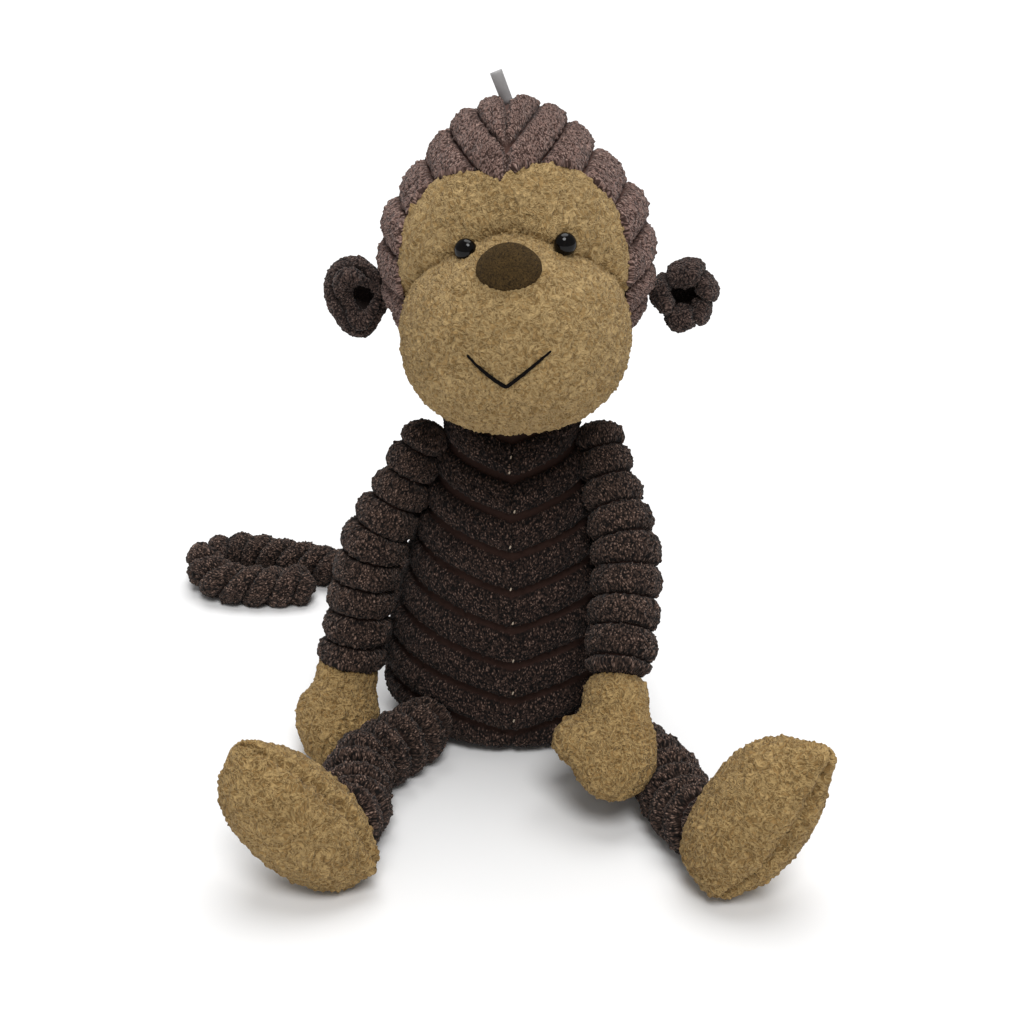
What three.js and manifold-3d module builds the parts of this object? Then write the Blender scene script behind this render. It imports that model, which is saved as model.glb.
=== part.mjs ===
// A sitting plush monkey: ribbed cord plush body, looped tan face, hands and feet.
// Millimetres, +Z up, -Y to the monkey's front, +X to the viewer's right.
// The origin is the centre of the flat seat under the torso.
import * as THREE from 'three';
import { mergeVertices } from 'three/addons/utils/BufferGeometryUtils.js';
import Module from 'manifold-3d';

const wasm = await Module();
wasm.setup();

// ---------------------------------------------------------------- driving dimensions
const gap = 0.4;                 // clearance between sewn pieces that touch
const fillingRoom = 1.4;         // loose room between a cloth and its filling
const cordCloth = 2.4;           // thickness of the ribbed cord plush
const pileCloth = 2.0;           // thickness of the looped tan plush

const torsoHeight = 144;
const torsoLean = 11;            // how far the neck sits behind the seat's centre
const seatWidth = 86;
const seatDepth = 68;
const seatThickness = 2.2;
const hipWidth = 102;
const hipDepth = 74;
const bellyWidth = 80;
const bellyDepth = 64;
const chestWidth = 56;
const chestDepth = 46;
const neckWidth = 36;
const neckDepth = 28;
const beanHeight = 32;           // top of the pellet pouch

const headWidth = 104;
const headDepth = 98;
const crownHeight = 61;          // from the widest level up to the crown
const jawHeight = 46;            // and down to the neck
const headPitch = 8;             // degrees, face tipped up
const headRoll = 3.5;            // degrees, tipped to the viewer's left
const headYaw = 2;               // degrees, turned to the viewer's left
const muzzleWidth = 88;
const muzzleDepth = 74;
const muzzleHeight = 71;
const muzzleForward = 30;        // muzzle's centre ahead of the head's centre
const muzzleDrop = 21.5;         // and below its widest level
const neckBallRadius = 9;

const eyeRadius = 4.5;
const eyeSpacing = 36;
const eyeHeight = 12.5;          // above the head's widest level
const shankRadius = 1.8;
const shankLength = 10;
const washerRadius = 6;
const washerThickness = 1.4;
const washerRelief = 2.4;        // room behind the curved cloth for the flat washer
const noseWidth = 25;
const noseHeight = 19;
const noseDepth = 15;
const noseRise = 0.4;            // nose's middle above the muzzle's, as a share of its height
const mouthWidth = 31;
const mouthDepth = 13;
const mouthDrop = 0.12;          // lowest point of the smile, as a share of the muzzle's height
const threadRadius = 0.7;

const earWidth = 25;
const earHeight = 30;
const earThickness = 12;
const earSkew = 3;               // the ears sit level although the head is tipped
const earRootRadius = 3.5;
const earSink = 4;               // how far the disc reaches back over its root
const loopHeight = 13;
const loopOpening = 7;
const ribbonWidth = 4.4;
const ribbonThickness = 0.8;
const loopTilt = 18;             // degrees, tipped to the viewer's left

const armThickness = 24;
const armRootRadius = 7.5;
const shoulderShare = 0.835;     // shoulders, as a share of the torso's height
const armTaper = 50;             // the arm thickens over this length from the shoulder
const shoulderForward = 5;       // shoulders sit ahead of the torso's middle
const armLength = 90;
const wristRadius = 7.5;
const handLength = 43;
const handWidth = 33;
const handThickness = 21;
const thumbLength = 19;
const thumbWidth = 17;

const legThickness = 25;
const legRootRadius = 10;
const hipSpreadShare = 0.63;     // hip joints, as a share of the torso's half width
const legLength = 66;
const ankleRadius = 7;
const footLength = 70;
const footWidth = 41;
const footThickness = 34;

const tailThickness = 16;
const tailRootRadius = 7;
const restClearance = 0.3;       // legs and tail above the ground

// ---------------------------------------------------------------- colours and materials
const finishes = {
  cord: { color: 0x3a2d28, roughness: 0.95, metalness: 0 },
  hood: { color: 0x5d4a43, roughness: 0.95, metalness: 0 },
  pile: { color: 0x8b7553, roughness: 0.95, metalness: 0 },
  suede: { color: 0x443319, roughness: 0.85, metalness: 0 },
  gloss: { color: 0x0b0a0a, roughness: 0.08, metalness: 0 },
  thread: { color: 0x121010, roughness: 0.7, metalness: 0 },
  ribbon: { color: 0xa09e9e, roughness: 0.8, metalness: 0 },
  filling: { color: 0xe9e6df, roughness: 1, metalness: 0 },
  washer: { color: 0xdad6cc, roughness: 0.5, metalness: 0 },
};

const monkey = new THREE.Group();

function addPiece(name, shape, finish, parent = monkey) {
  const geometry = shape.isBufferGeometry ? shape : geometryOf(shape);
  const mesh = new THREE.Mesh(geometry, new THREE.MeshStandardMaterial(finishes[finish]));
  mesh.name = name;
  parent.add(mesh);
  return mesh;
}

// ---------------------------------------------------------------- solids
function solidOf(geometry) {
  const bare = geometry.clone();
  bare.deleteAttribute('normal');
  bare.deleteAttribute('uv');
  const merged = mergeVertices(bare);
  return new wasm.Manifold(new wasm.Mesh({
    numProp: 3,
    vertProperties: new Float32Array(merged.attributes.position.array),
    triVerts: new Uint32Array(merged.index.array),
  }));
}

function geometryOf(solid) {
  const mesh = solid.getMesh();
  const geometry = new THREE.BufferGeometry();
  geometry.setAttribute('position', new THREE.BufferAttribute(mesh.vertProperties, 3));
  geometry.setIndex(new THREE.BufferAttribute(mesh.triVerts, 1));
  geometry.computeVertexNormals();
  return geometry;
}

function boxBetween(low, high) {
  const size = new THREE.Vector3().subVectors(high, low);
  const middle = new THREE.Vector3().addVectors(low, high).multiplyScalar(0.5);
  return solidOf(new THREE.BoxGeometry(size.x, size.y, size.z).translate(middle.x, middle.y, middle.z));
}

const far = 400;                 // beyond every piece
const everything = new THREE.Vector3(far, far, far);

// The main body of a solid, without the slivers that a cut can leave beside it.
function mainBody(solid) {
  return solid.decompose().sort((a, b) => b.volume() - a.volume())[0];
}

// Half-space boxes: everything beyond `at` along one axis, in the given sense.
function beyond(axis, at, sense) {
  const low = everything.clone().negate();
  const high = everything.clone();
  if (sense > 0) low[axis] = at;
  else high[axis] = at;
  return boxBetween(low, high);
}

// `drop` is the radius below the centre, where it differs from the one above.
function ellipsoid(centre, radii, around = 20, along = 12, drop = radii.z) {
  const ball = new THREE.SphereGeometry(1, around, along);
  ball.rotateX(Math.PI / 2);
  ball.scale(radii.x, radii.y, 1);
  const { position } = ball.attributes;
  for (let i = 0; i < position.count; i += 1) {
    const z = position.getZ(i);
    position.setZ(i, z * (z < 0 ? drop : radii.z));
  }
  return solidOf(ball.translate(centre.x, centre.y, centre.z));
}

function sphere(centre, radius, around = 14, along = 8) {
  return ellipsoid(centre, new THREE.Vector3(radius, radius, radius), around, along);
}

// A closed skin over rings of points, with a point at the middle of each end ring.
function loft(rings) {
  const sides = rings[0].length;
  const positions = [];
  const indices = [];
  const push = (p) => positions.push(p.x, p.y, p.z);
  rings.forEach((ring) => ring.forEach(push));
  const poleOf = (ring) => ring.reduce((sum, p) => sum.add(p), new THREE.Vector3()).divideScalar(sides);
  push(poleOf(rings[0]));
  push(poleOf(rings[rings.length - 1]));
  const startPole = rings.length * sides;
  const endRow = (rings.length - 1) * sides;
  for (let j = 0; j < sides; j += 1) {
    const next = (j + 1) % sides;
    indices.push(startPole, next, j);
    indices.push(startPole + 1, endRow + j, endRow + next);
    for (let i = 0; i + 1 < rings.length; i += 1) {
      const row = i * sides;
      indices.push(row + j, row + next, row + sides + next);
      indices.push(row + j, row + sides + next, row + sides + j);
    }
  }
  const geometry = new THREE.BufferGeometry();
  geometry.setAttribute('position', new THREE.Float32BufferAttribute(positions, 3));
  geometry.setIndex(indices);
  return solidOf(geometry);
}

function ring(centre, across, up, halfWidth, halfDepth, sides) {
  return Array.from({ length: sides }, (_, j) => {
    const turn = (j / sides) * Math.PI * 2;
    return centre.clone()
      .addScaledVector(across, Math.cos(turn) * halfWidth)
      .addScaledVector(up, Math.sin(turn) * halfDepth);
  });
}

const radians = THREE.MathUtils.degToRad;
const smooth = (x) => THREE.MathUtils.smoothstep(x, 0, 1);
const hidden = [14, 8];          // coarser facets for the inner faces that nobody sees
const vec = (x, y, z) => new THREE.Vector3(x, y, z);

// A stuffed tube along a curve, set in from its outer surface by `inset`.
// Both ends are domes; the start dome is round, so its centre is the limb's pivot.
function limb(curve, radiusAt, startCap, endCap, inset, sides = 10, step = 15) {
  const length = curve.getLength();
  const first = startCap;
  const last = length - endCap;
  const capSteps = [22, 52, 78].map(radians);
  const stations = capSteps.map((a) => ({
    at: first - (startCap - inset) * Math.cos(a),
    share: Math.sin(a),
  }));
  const bodySteps = Math.max(2, Math.round((last - first) / step));
  for (let i = 0; i <= bodySteps; i += 1) {
    stations.push({ at: first + ((last - first) * i) / bodySteps, share: 1 });
  }
  capSteps.slice().reverse().forEach((a) => stations.push({
    at: last + (endCap - inset) * Math.cos(a),
    share: Math.sin(a),
  }));
  const span = new THREE.Vector3().subVectors(curve.getPointAt(1), curve.getPointAt(0)).normalize();
  const upright = Math.abs(span.z) > 0.6 ? vec(1, 0.3, 0) : vec(0, 0, 1);
  return loft(stations.map(({ at, share }) => {
    const u = THREE.MathUtils.clamp(at / length, 0, 1);
    const centre = curve.getPointAt(u);
    const forward = curve.getTangentAt(u);
    const across = new THREE.Vector3().crossVectors(upright, forward).normalize();
    const up = new THREE.Vector3().crossVectors(forward, across);
    const radius = (radiusAt(at) - inset) * share;
    return ring(centre, across, up, radius, radius, sides);
  }));
}

// ---------------------------------------------------------------- torso
const torsoShape = new THREE.CatmullRomCurve3([
  vec(seatWidth / 2, seatDepth / 2, 0),
  vec(hipWidth / 2, hipDepth / 2, torsoHeight * 0.13),
  vec(bellyWidth / 2, bellyDepth / 2, torsoHeight * 0.5),
  vec(chestWidth / 2, chestDepth / 2, torsoHeight * 0.82),
  vec(neckWidth / 2, neckDepth / 2, torsoHeight * 0.965),
  vec(neckWidth / 5, neckDepth / 5, torsoHeight),
]);
const torsoCentreY = (z) => (torsoLean * z) / torsoHeight;

function torsoSection(z) {
  let low = 0;
  let high = 1;
  for (let i = 0; i < 40; i += 1) {
    const middle = (low + high) / 2;
    if (torsoShape.getPoint(middle).z < z) low = middle;
    else high = middle;
  }
  const { x, y } = torsoShape.getPoint(low);
  return { halfWidth: x, halfDepth: y, centreY: torsoCentreY(z) };
}

const narrowest = 1.5;           // half width at which the torso's top closes

function torsoSolid(inset, sides = 20, steps = 11) {
  return loft(Array.from({ length: steps + 1 }, (_, i) => {
    const { x, y, z } = torsoShape.getPoint(i / steps);
    const height = Math.min(z, torsoHeight - inset);
    const centre = vec(0, torsoCentreY(z), height);
    const [halfWidth, halfDepth] = [x, y].map((reach) => Math.max(reach - inset, narrowest));
    return ring(centre, vec(1, 0, 0), vec(0, 1, 0), halfWidth, halfDepth, sides);
  }));
}

const torsoHidden = [14, 9];
const neckPivot = vec(0.5, torsoCentreY(torsoHeight), torsoHeight + 3.5);
const neckSocket = sphere(neckPivot, neckBallRadius + gap);
const torsoCloth = torsoSolid(0)
  .subtract(torsoSolid(cordCloth, ...torsoHidden))
  .subtract(beyond('z', seatThickness + gap, -1))
  .subtract(neckSocket);
const sideSeam = torsoCentreY(torsoHeight / 2);
for (const [side, sense] of [['left', -1], ['right', 1]]) {
  const half = torsoCloth.intersect(beyond('x', (sense * gap) / 2, sense));
  addPiece(`torso_front_${side}`, half.intersect(beyond('y', sideSeam - gap / 2, -1)), 'cord');
  addPiece(`torso_back_${side}`, half.intersect(beyond('y', sideSeam + gap / 2, 1)), 'cord');
}

const seatPanel = new THREE.CylinderGeometry(1, 1, seatThickness, 24).rotateX(Math.PI / 2);
seatPanel.scale(seatWidth / 2, seatDepth / 2, 1).translate(0, torsoCentreY(0), seatThickness / 2);
addPiece('seat_panel', seatPanel, 'cord');

const torsoInside = torsoSolid(cordCloth + fillingRoom, ...torsoHidden)
  .subtract(beyond('z', seatThickness + gap, -1));
const torsoFilling = torsoInside.intersect(beyond('z', beanHeight + gap, 1)).subtract(neckSocket);
addPiece('bean_pouch', torsoInside.intersect(beyond('z', beanHeight, -1)), 'filling');
addPiece('torso_stuffing', torsoFilling, 'filling');
addPiece('neck_stuffing', sphere(neckPivot, neckBallRadius), 'filling');

// ---------------------------------------------------------------- head
const head = new THREE.Group();
head.position.copy(neckPivot).add(vec(1.5, -4, jawHeight));
head.rotation.set(-radians(headPitch), -radians(headRoll), -radians(headYaw), 'YXZ');
head.updateMatrix();
monkey.add(head);

const headOrigin = vec(0, 0, 0);
const muzzleCentre = vec(0, -muzzleForward, -muzzleDrop);
const skullRadii = (inset) => vec(headWidth / 2 - inset, headDepth / 2 - inset, crownHeight - inset);
const muzzleRadii = (inset) => (
  vec(muzzleWidth, muzzleDepth, muzzleHeight).multiplyScalar(0.5).addScalar(-inset)
);
const skull = (inset, around, along) => (
  ellipsoid(headOrigin, skullRadii(inset), around, along, jawHeight - inset)
);
const muzzleBall = (inset, ...detail) => ellipsoid(muzzleCentre, muzzleRadii(inset), ...detail);
const headSocket = sphere(neckPivot.clone().applyMatrix4(head.matrix.clone().invert()), neckBallRadius + gap);

// How far forward the head or the muzzle reaches at a place seen from the front.
function forwardOf(centre, radii, x, z) {
  const spare = 1 - ((x - centre.x) / radii.x) ** 2 - ((z - centre.z) / radii.z) ** 2;
  return centre.y - radii.y * Math.sqrt(Math.max(spare, 0));
}

// The face opening: a heart-shaped top edge, straight cheeks, and a round chin.
function faceOutline(inset) {
  const half = headWidth * 0.41 - inset;
  const lobe = crownHeight * 0.64 - inset;
  const dip = crownHeight * 0.565 - inset;
  const chin = -jawHeight * 0.84 + inset;
  const outline = new THREE.Shape();
  outline.moveTo(0, dip);
  outline.bezierCurveTo(half * 0.12, dip + 3, half * 0.22, lobe, half * 0.42, lobe);
  outline.bezierCurveTo(half * 0.8, lobe, half, lobe * 0.55, half, 0);
  outline.bezierCurveTo(half, chin * 0.7, half * 0.6, chin, 0, chin);
  outline.bezierCurveTo(-half * 0.6, chin, -half, chin * 0.7, -half, 0);
  outline.bezierCurveTo(-half, lobe * 0.55, -half * 0.8, lobe, -half * 0.42, lobe);
  outline.bezierCurveTo(-half * 0.22, lobe, -half * 0.12, dip + 3, 0, dip);
  return outline;
}

function facePrism(inset) {
  const prism = new THREE.ExtrudeGeometry(faceOutline(inset), {
    depth: headDepth,
    bevelEnabled: false,
    curveSegments: 6,
  });
  prism.rotateX(Math.PI / 2);
  return solidOf(prism.translate(0, -6, 0));
}

const skullCloth = skull(0).subtract(skull(pileCloth, ...hidden));
const muzzleHole = muzzleBall(-gap);
const hoodCloth = skullCloth.subtract(facePrism(0)).subtract(muzzleHole).subtract(headSocket);
addPiece('hood_left', hoodCloth.intersect(beyond('x', -gap / 2, -1)), 'hood', head);
addPiece('hood_right', hoodCloth.intersect(beyond('x', gap / 2, 1)), 'hood', head);

const muzzleCloth = muzzleBall(0).subtract(muzzleBall(pileCloth, ...hidden)).subtract(skull(-gap));
addPiece('muzzle_left', muzzleCloth.intersect(beyond('x', -gap / 2, -1)), 'pile', head);
addPiece('muzzle_right', muzzleCloth.intersect(beyond('x', gap / 2, 1)), 'pile', head);

// A geometry turned so that its +Y points along `outward`, with its middle at `place`.
function aimed(geometry, place, outward) {
  const turn = new THREE.Quaternion().setFromUnitVectors(vec(0, 1, 0), outward);
  return solidOf(geometry.applyQuaternion(turn).translate(place.x, place.y, place.z));
}

// Each eye is a dome on a shank through the face cloth, held by a washer behind it.
function eyeSet(sense) {
  const radii = skullRadii(0);
  const x = (sense * eyeSpacing) / 2;
  const surface = vec(x, forwardOf(headOrigin, radii, x, eyeHeight), eyeHeight);
  const outward = surface.clone().divide(radii).divide(radii).normalize();
  const at = (along) => surface.clone().addScaledVector(outward, along);
  const rod = (radius, length, along, sides = 8) => (
    aimed(new THREE.CylinderGeometry(radius, radius, length, sides), at(along), outward)
  );
  const profile = [new THREE.Vector2(0, 0)];
  for (let i = 0; i <= 4; i += 1) {
    const a = (i / 4) * (Math.PI / 2);
    profile.push(new THREE.Vector2(eyeRadius * Math.cos(a), eyeRadius * 0.75 * Math.sin(a)));
  }
  const washerDepth = -(pileCloth + gap + washerThickness / 2 + washerRelief);
  return {
    eye: aimed(new THREE.LatheGeometry(profile, 14), at(gap), outward)
      .add(rod(shankRadius, shankLength, gap + 0.5 - shankLength / 2))
      .subtract(muzzleBall(-gap)),
    hole: rod(shankRadius + gap, shankLength * 2, -shankLength / 2),
    washer: rod(washerRadius, washerThickness, washerDepth, 14)
      .subtract(rod(shankRadius + gap, shankLength * 2, -shankLength / 2)),
    pocket: rod(washerRadius + gap * 2, washerThickness + gap * 2, washerDepth, 14),
  };
}

let facePanel = skullCloth.intersect(facePrism(gap)).subtract(muzzleHole);
let headFilling = skull(pileCloth + fillingRoom, ...hidden)
  .add(muzzleBall(pileCloth + fillingRoom, ...hidden))
  .subtract(headSocket);
for (const [side, sense] of [['left', -1], ['right', 1]]) {
  const parts = eyeSet(sense);
  addPiece(`eye_${side}`, parts.eye, 'gloss', head);
  addPiece(`eye_washer_${side}`, parts.washer, 'washer', head);
  facePanel = facePanel.subtract(parts.hole);
  headFilling = headFilling.subtract(parts.hole).subtract(parts.pocket);
}
addPiece('face_panel', mainBody(facePanel), 'pile', head);
addPiece('head_stuffing', mainBody(headFilling), 'filling', head);

const noseZ = muzzleCentre.z + muzzleHeight * noseRise;
const noseY = forwardOf(muzzleCentre, muzzleRadii(0), 0, noseZ);
const nose = ellipsoid(vec(0, noseY, noseZ), vec(noseWidth / 2, noseDepth / 2, noseHeight / 2), 18, 10);
addPiece('nose', mainBody(nose.subtract(muzzleHole).subtract(skull(-gap))), 'suede', head);

// The smile: a V of thick thread that lies on the muzzle.
const mouthZ = muzzleCentre.z - muzzleHeight * mouthDrop;
const mouthPoints = [];
for (let i = -6; i <= 6; i += 1) {
  const x = (i / 6) * (mouthWidth / 2);
  const z = mouthZ + mouthDepth * Math.abs(i / 6) ** 1.25;
  mouthPoints.push(vec(x, forwardOf(muzzleCentre, muzzleRadii(0), x, z) - threadRadius - gap, z));
}
const threadSection = new THREE.Shape().absarc(0, 0, threadRadius, 0, Math.PI * 2);
addPiece('mouth_stitch', new THREE.ExtrudeGeometry(threadSection, {
  steps: 16,
  curveSegments: 3,
  extrudePath: new THREE.CatmullRomCurve3(mouthPoints),
}), 'thread', head);

// A ribbon folded into a loop and sewn into the crown seam.
const loopOutline = new THREE.Shape();
loopOutline.absellipse(0, 0, loopOpening / 2 + ribbonThickness, loopHeight / 2, 0, Math.PI * 2);
const loopHole = new THREE.Path();
loopHole.absellipse(0, 0, loopOpening / 2, loopHeight / 2 - ribbonThickness, 0, Math.PI * 2, true);
loopOutline.holes.push(loopHole);
const loopGeometry = new THREE.ExtrudeGeometry(loopOutline, {
  depth: ribbonWidth,
  bevelEnabled: false,
  curveSegments: 14,
});
loopGeometry.translate(0, loopHeight / 2, -ribbonWidth / 2).rotateX(Math.PI / 2).rotateZ(Math.PI / 2);
const hangLoop = addPiece('hang_loop', solidOf(loopGeometry), 'ribbon', head);
hangLoop.position.set(-1, 3, crownHeight + gap + 0.6);
hangLoop.rotation.y = -radians(loopTilt);

// An ear: a cupped disc of folded cord plush on a narrow root beside the head.
const earRootY = 3;
const earRootZ = -jawHeight * 0.28;
const earRootX = skullRadii(0).x * Math.sqrt(
  1 - (earRootY / skullRadii(0).y) ** 2 - (earRootZ / jawHeight) ** 2,
) + earRootRadius + gap * 2;
for (const [side, sense] of [['left', -1], ['right', 1]]) {
  const middle = vec(sense * (earWidth / 2 - earSink), 0, 0);
  const disc = ellipsoid(middle, vec(earWidth / 2, earThickness / 2, earHeight / 2), 14, 8);
  const scoop = ellipsoid(
    middle.clone().add(vec(sense, -earThickness / 2, 0)),
    vec(earWidth * 0.33, earThickness * 0.6, earHeight * 0.34),
    10,
    6,
  );
  const root = sphere(headOrigin, earRootRadius, 8, 6);
  const ear = addPiece(`ear_${side}`, disc.add(root).subtract(scoop), 'hood', head);
  ear.position.set(sense * earRootX, earRootY, earRootZ - sense * earSkew);
}

// ---------------------------------------------------------------- limbs
// Where a limb of the given length ends when it reaches from `start` towards `target`,
// and the curve that takes up any spare length by bowing to one side.
function reach(start, target, length, bowSide, rootRadius, cleared = (place) => place) {
  const chord = new THREE.Vector3().subVectors(target, start);
  const distance = Math.min(chord.length(), length);
  const direction = chord.normalize();
  const end = cleared(start.clone().addScaledVector(direction, distance));
  const bow = Math.sqrt((3 * distance * Math.max(length - distance, 0)) / 8);
  const middle = cleared(start.clone().lerp(end, 0.5).addScaledVector(bowSide, bow));
  const before = start.clone().addScaledVector(direction, -rootRadius);
  const quarter = cleared(start.clone().lerp(middle, 0.5));
  return { curve: new THREE.CatmullRomCurve3([before, start, quarter, middle, end]), end };
}

const tubeEnd = 6;               // depth of the flattened dome that closes a limb
const openingRadius = 2;         // hole in that dome, where the filling goes in

// The cloth and the filling of one tubular limb. The cloth is open at its far end.
function stuffedLimb(name, curve, thickness, rootRadius, taper) {
  const radiusAt = (along) => (
    THREE.MathUtils.lerp(rootRadius, thickness / 2, smooth((along - rootRadius) / taper))
  );
  const body = (inset, ...detail) => limb(curve, radiusAt, rootRadius, tubeEnd, inset, ...detail);
  const end = curve.getPointAt(1);
  const forward = curve.getTangentAt(1);
  const plug = new THREE.CylinderGeometry(openingRadius, openingRadius, cordCloth * 4, 10);
  const opening = aimed(plug, end, forward);
  addPiece(name, body(0).subtract(body(cordCloth, 8)).subtract(opening), 'cord');
  addPiece(`${name}_stuffing`, body(cordCloth + fillingRoom, 8), 'filling');
  return { end, forward };
}

const shown = [14, 8];           // facets of a hand or foot, outside
const unseen = [10, 6];          // and inside

// Cloth in two halves over a filling, split by a seam across local Y.
function stuffedPillow(names, parent, seamY, bodyAt) {
  const cloth = bodyAt(0, ...shown).subtract(bodyAt(pileCloth, ...unseen));
  addPiece(names.front, mainBody(cloth.intersect(beyond('y', seamY - gap / 2, -1))), 'pile', parent);
  addPiece(names.back, mainBody(cloth.intersect(beyond('y', seamY + gap / 2, 1))), 'pile', parent);
  addPiece(names.filling, bodyAt(pileCloth + fillingRoom, ...unseen), 'filling', parent);
}

// A group whose local +Z runs along `long`, with its local -Y turned towards `facing`.
function frameAt(place, long, facing) {
  const z = long.clone().normalize();
  const y = facing.clone().negate().addScaledVector(z, facing.dot(z)).normalize();
  const x = new THREE.Vector3().crossVectors(y, z);
  const group = new THREE.Group();
  group.position.copy(place);
  group.setRotationFromMatrix(new THREE.Matrix4().makeBasis(x, y, z));
  monkey.add(group);
  return group;
}

// A short neck of cloth from a pivot into the pillow that it carries.
function stub(target, radius, inset) {
  const direction = target.clone().normalize();
  const line = new THREE.LineCurve3(direction.clone().multiplyScalar(-radius), target);
  return limb(line, () => radius, radius, radius, inset, 8, 30);
}

// A place moved straight out from the torso's axis until something round clears the torso.
function clearOfTorso(place, radius) {
  const { halfWidth, halfDepth, centreY } = torsoSection(place.z);
  const share = Math.hypot(place.x / (halfWidth + radius), (place.y - centreY) / (halfDepth + radius));
  if (share >= 1) return place;
  return vec(place.x / share, centreY + (place.y - centreY) / share, place.z);
}

// Arms hang from the sides of the chest. The left hand rests beside its leg, on the ground,
// and the right one above its leg.
const shoulderHeight = torsoHeight * shoulderShare;
const chest = torsoSection(shoulderHeight);
const wristPlaces = {
  left: {
    target: vec(-52 - legThickness / 2, -13, legThickness + 13),
    long: vec(0.14, 0.7, 0.62),
    facing: vec(0.15, -1, 0.6),
  },
  right: {
    target: vec(41, -53, legThickness + 27.5),
    long: vec(0.1, 0.75, 0.66),
    facing: vec(-0.1, -1, 0.62),
  },
};
const armRadiusAt = (along) => (
  THREE.MathUtils.lerp(armRootRadius, armThickness / 2, smooth(along / armTaper))
);
for (const [side, sense] of [['left', -1], ['right', 1]]) {
  const shoulderX = sense * (chest.halfWidth + armRootRadius + gap);
  const shoulder = vec(shoulderX, chest.centreY - shoulderForward, shoulderHeight);
  const { target, long, facing } = wristPlaces[side];
  const beside = (place) => clearOfTorso(place, armRadiusAt(place.distanceTo(shoulder)) + gap * 2);
  const { curve } = reach(shoulder, target, armLength, vec(sense, 0, 0), armRootRadius, beside);
  const { end, forward } = stuffedLimb(`arm_${side}`, curve, armThickness, armRootRadius, armTaper);
  const wrist = end.clone().addScaledVector(forward, wristRadius + gap);
  const hand = frameAt(wrist, long, facing);
  const palm = vec(0, 0, -handLength / 2);
  const thumb = vec(-handWidth * 0.42, 0, -handLength * 0.52);
  stuffedPillow(
    { front: `hand_${side}_palm`, back: `hand_${side}_back`, filling: `hand_${side}_stuffing` },
    hand,
    0,
    (inset, ...facets) => ellipsoid(
      palm,
      vec(handWidth / 2 - inset, handThickness / 2 - inset, handLength / 2 - inset),
      ...facets,
    )
      .add(ellipsoid(
        thumb,
        vec(thumbLength / 2 - inset, thumbWidth * 0.42 - inset, thumbWidth / 2 - inset),
        ...unseen,
      ))
      .add(stub(palm, wristRadius, inset)),
  );
}

// Legs lie forward on the seat's level, with the feet standing on their heels.
const hipHeight = legThickness / 2 + restClearance;
const hips = torsoSection(hipHeight);
const hipSpread = hips.halfWidth * hipSpreadShare;
const hipRatio = Math.sqrt(1 - (hipSpread / hips.halfWidth) ** 2);
const anklePlaces = {
  left: {
    target: vec(-59, -93, hipHeight),
    foot: vec(-17, -17, 16.6),
    long: vec(-0.68, 0.06, 0.73),
    facing: vec(0.05, -1, 0.1),
  },
  right: {
    target: vec(66, -94, hipHeight),
    foot: vec(17, -18, 19),
    long: vec(0.53, 0.1, 0.83),
    facing: vec(-0.3, -1, 0.1),
  },
};
for (const [side, sense] of [['left', -1], ['right', 1]]) {
  const surface = vec(sense * hipSpread, -hips.halfDepth * hipRatio, 0);
  const outward = vec(surface.x / hips.halfWidth ** 2, surface.y / hips.halfDepth ** 2, 0).normalize();
  const hip = surface.addScaledVector(outward, legRootRadius + gap).add(vec(0, hips.centreY, hipHeight));
  const { target, foot: footOffset, long, facing } = anklePlaces[side];
  const { curve } = reach(hip, target, legLength, vec(sense, 0, 0), legRootRadius);
  const { end, forward } = stuffedLimb(`leg_${side}`, curve, legThickness, legRootRadius, legThickness);
  const ankle = end.clone().addScaledVector(forward, ankleRadius + gap);
  const foot = frameAt(ankle, long, facing);
  const middle = footOffset.clone().applyQuaternion(foot.quaternion.clone().invert());
  stuffedPillow(
    { front: `foot_${side}_sole`, back: `foot_${side}_top`, filling: `foot_${side}_stuffing` },
    foot,
    middle.y,
    (inset, ...facets) => ellipsoid(
      middle,
      vec(footWidth / 2 - inset, footThickness / 2 - inset, footLength / 2 - inset),
      ...facets,
    )
      .add(stub(middle, ankleRadius, inset)),
  );
}

// The tail leaves the back of the seat and lies on the ground in a loose hook.
const tailHeight = tailThickness / 2 + restClearance;
const rump = torsoSection(tailHeight);
const tailRoot = vec(-6, rump.centreY + rump.halfDepth + tailRootRadius + gap, tailHeight);
const tailCurve = new THREE.CatmullRomCurve3([
  tailRoot.clone().add(vec(1, -tailRootRadius, 0)),
  tailRoot,
  vec(-20, 76, tailHeight),
  vec(-46, 96, tailHeight),
  vec(-78, 107, tailHeight),
  vec(-108, 118, tailHeight),
  vec(-134, 122, tailHeight + 2),
  vec(-148, 111, tailHeight + 3),
  vec(-139, 96, tailHeight + 1),
  vec(-119, 91, tailHeight),
  vec(-95, 93, tailHeight),
]);
stuffedLimb('tail', tailCurve, tailThickness, tailRootRadius, tailThickness);

export default monkey;
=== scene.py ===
import math

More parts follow.
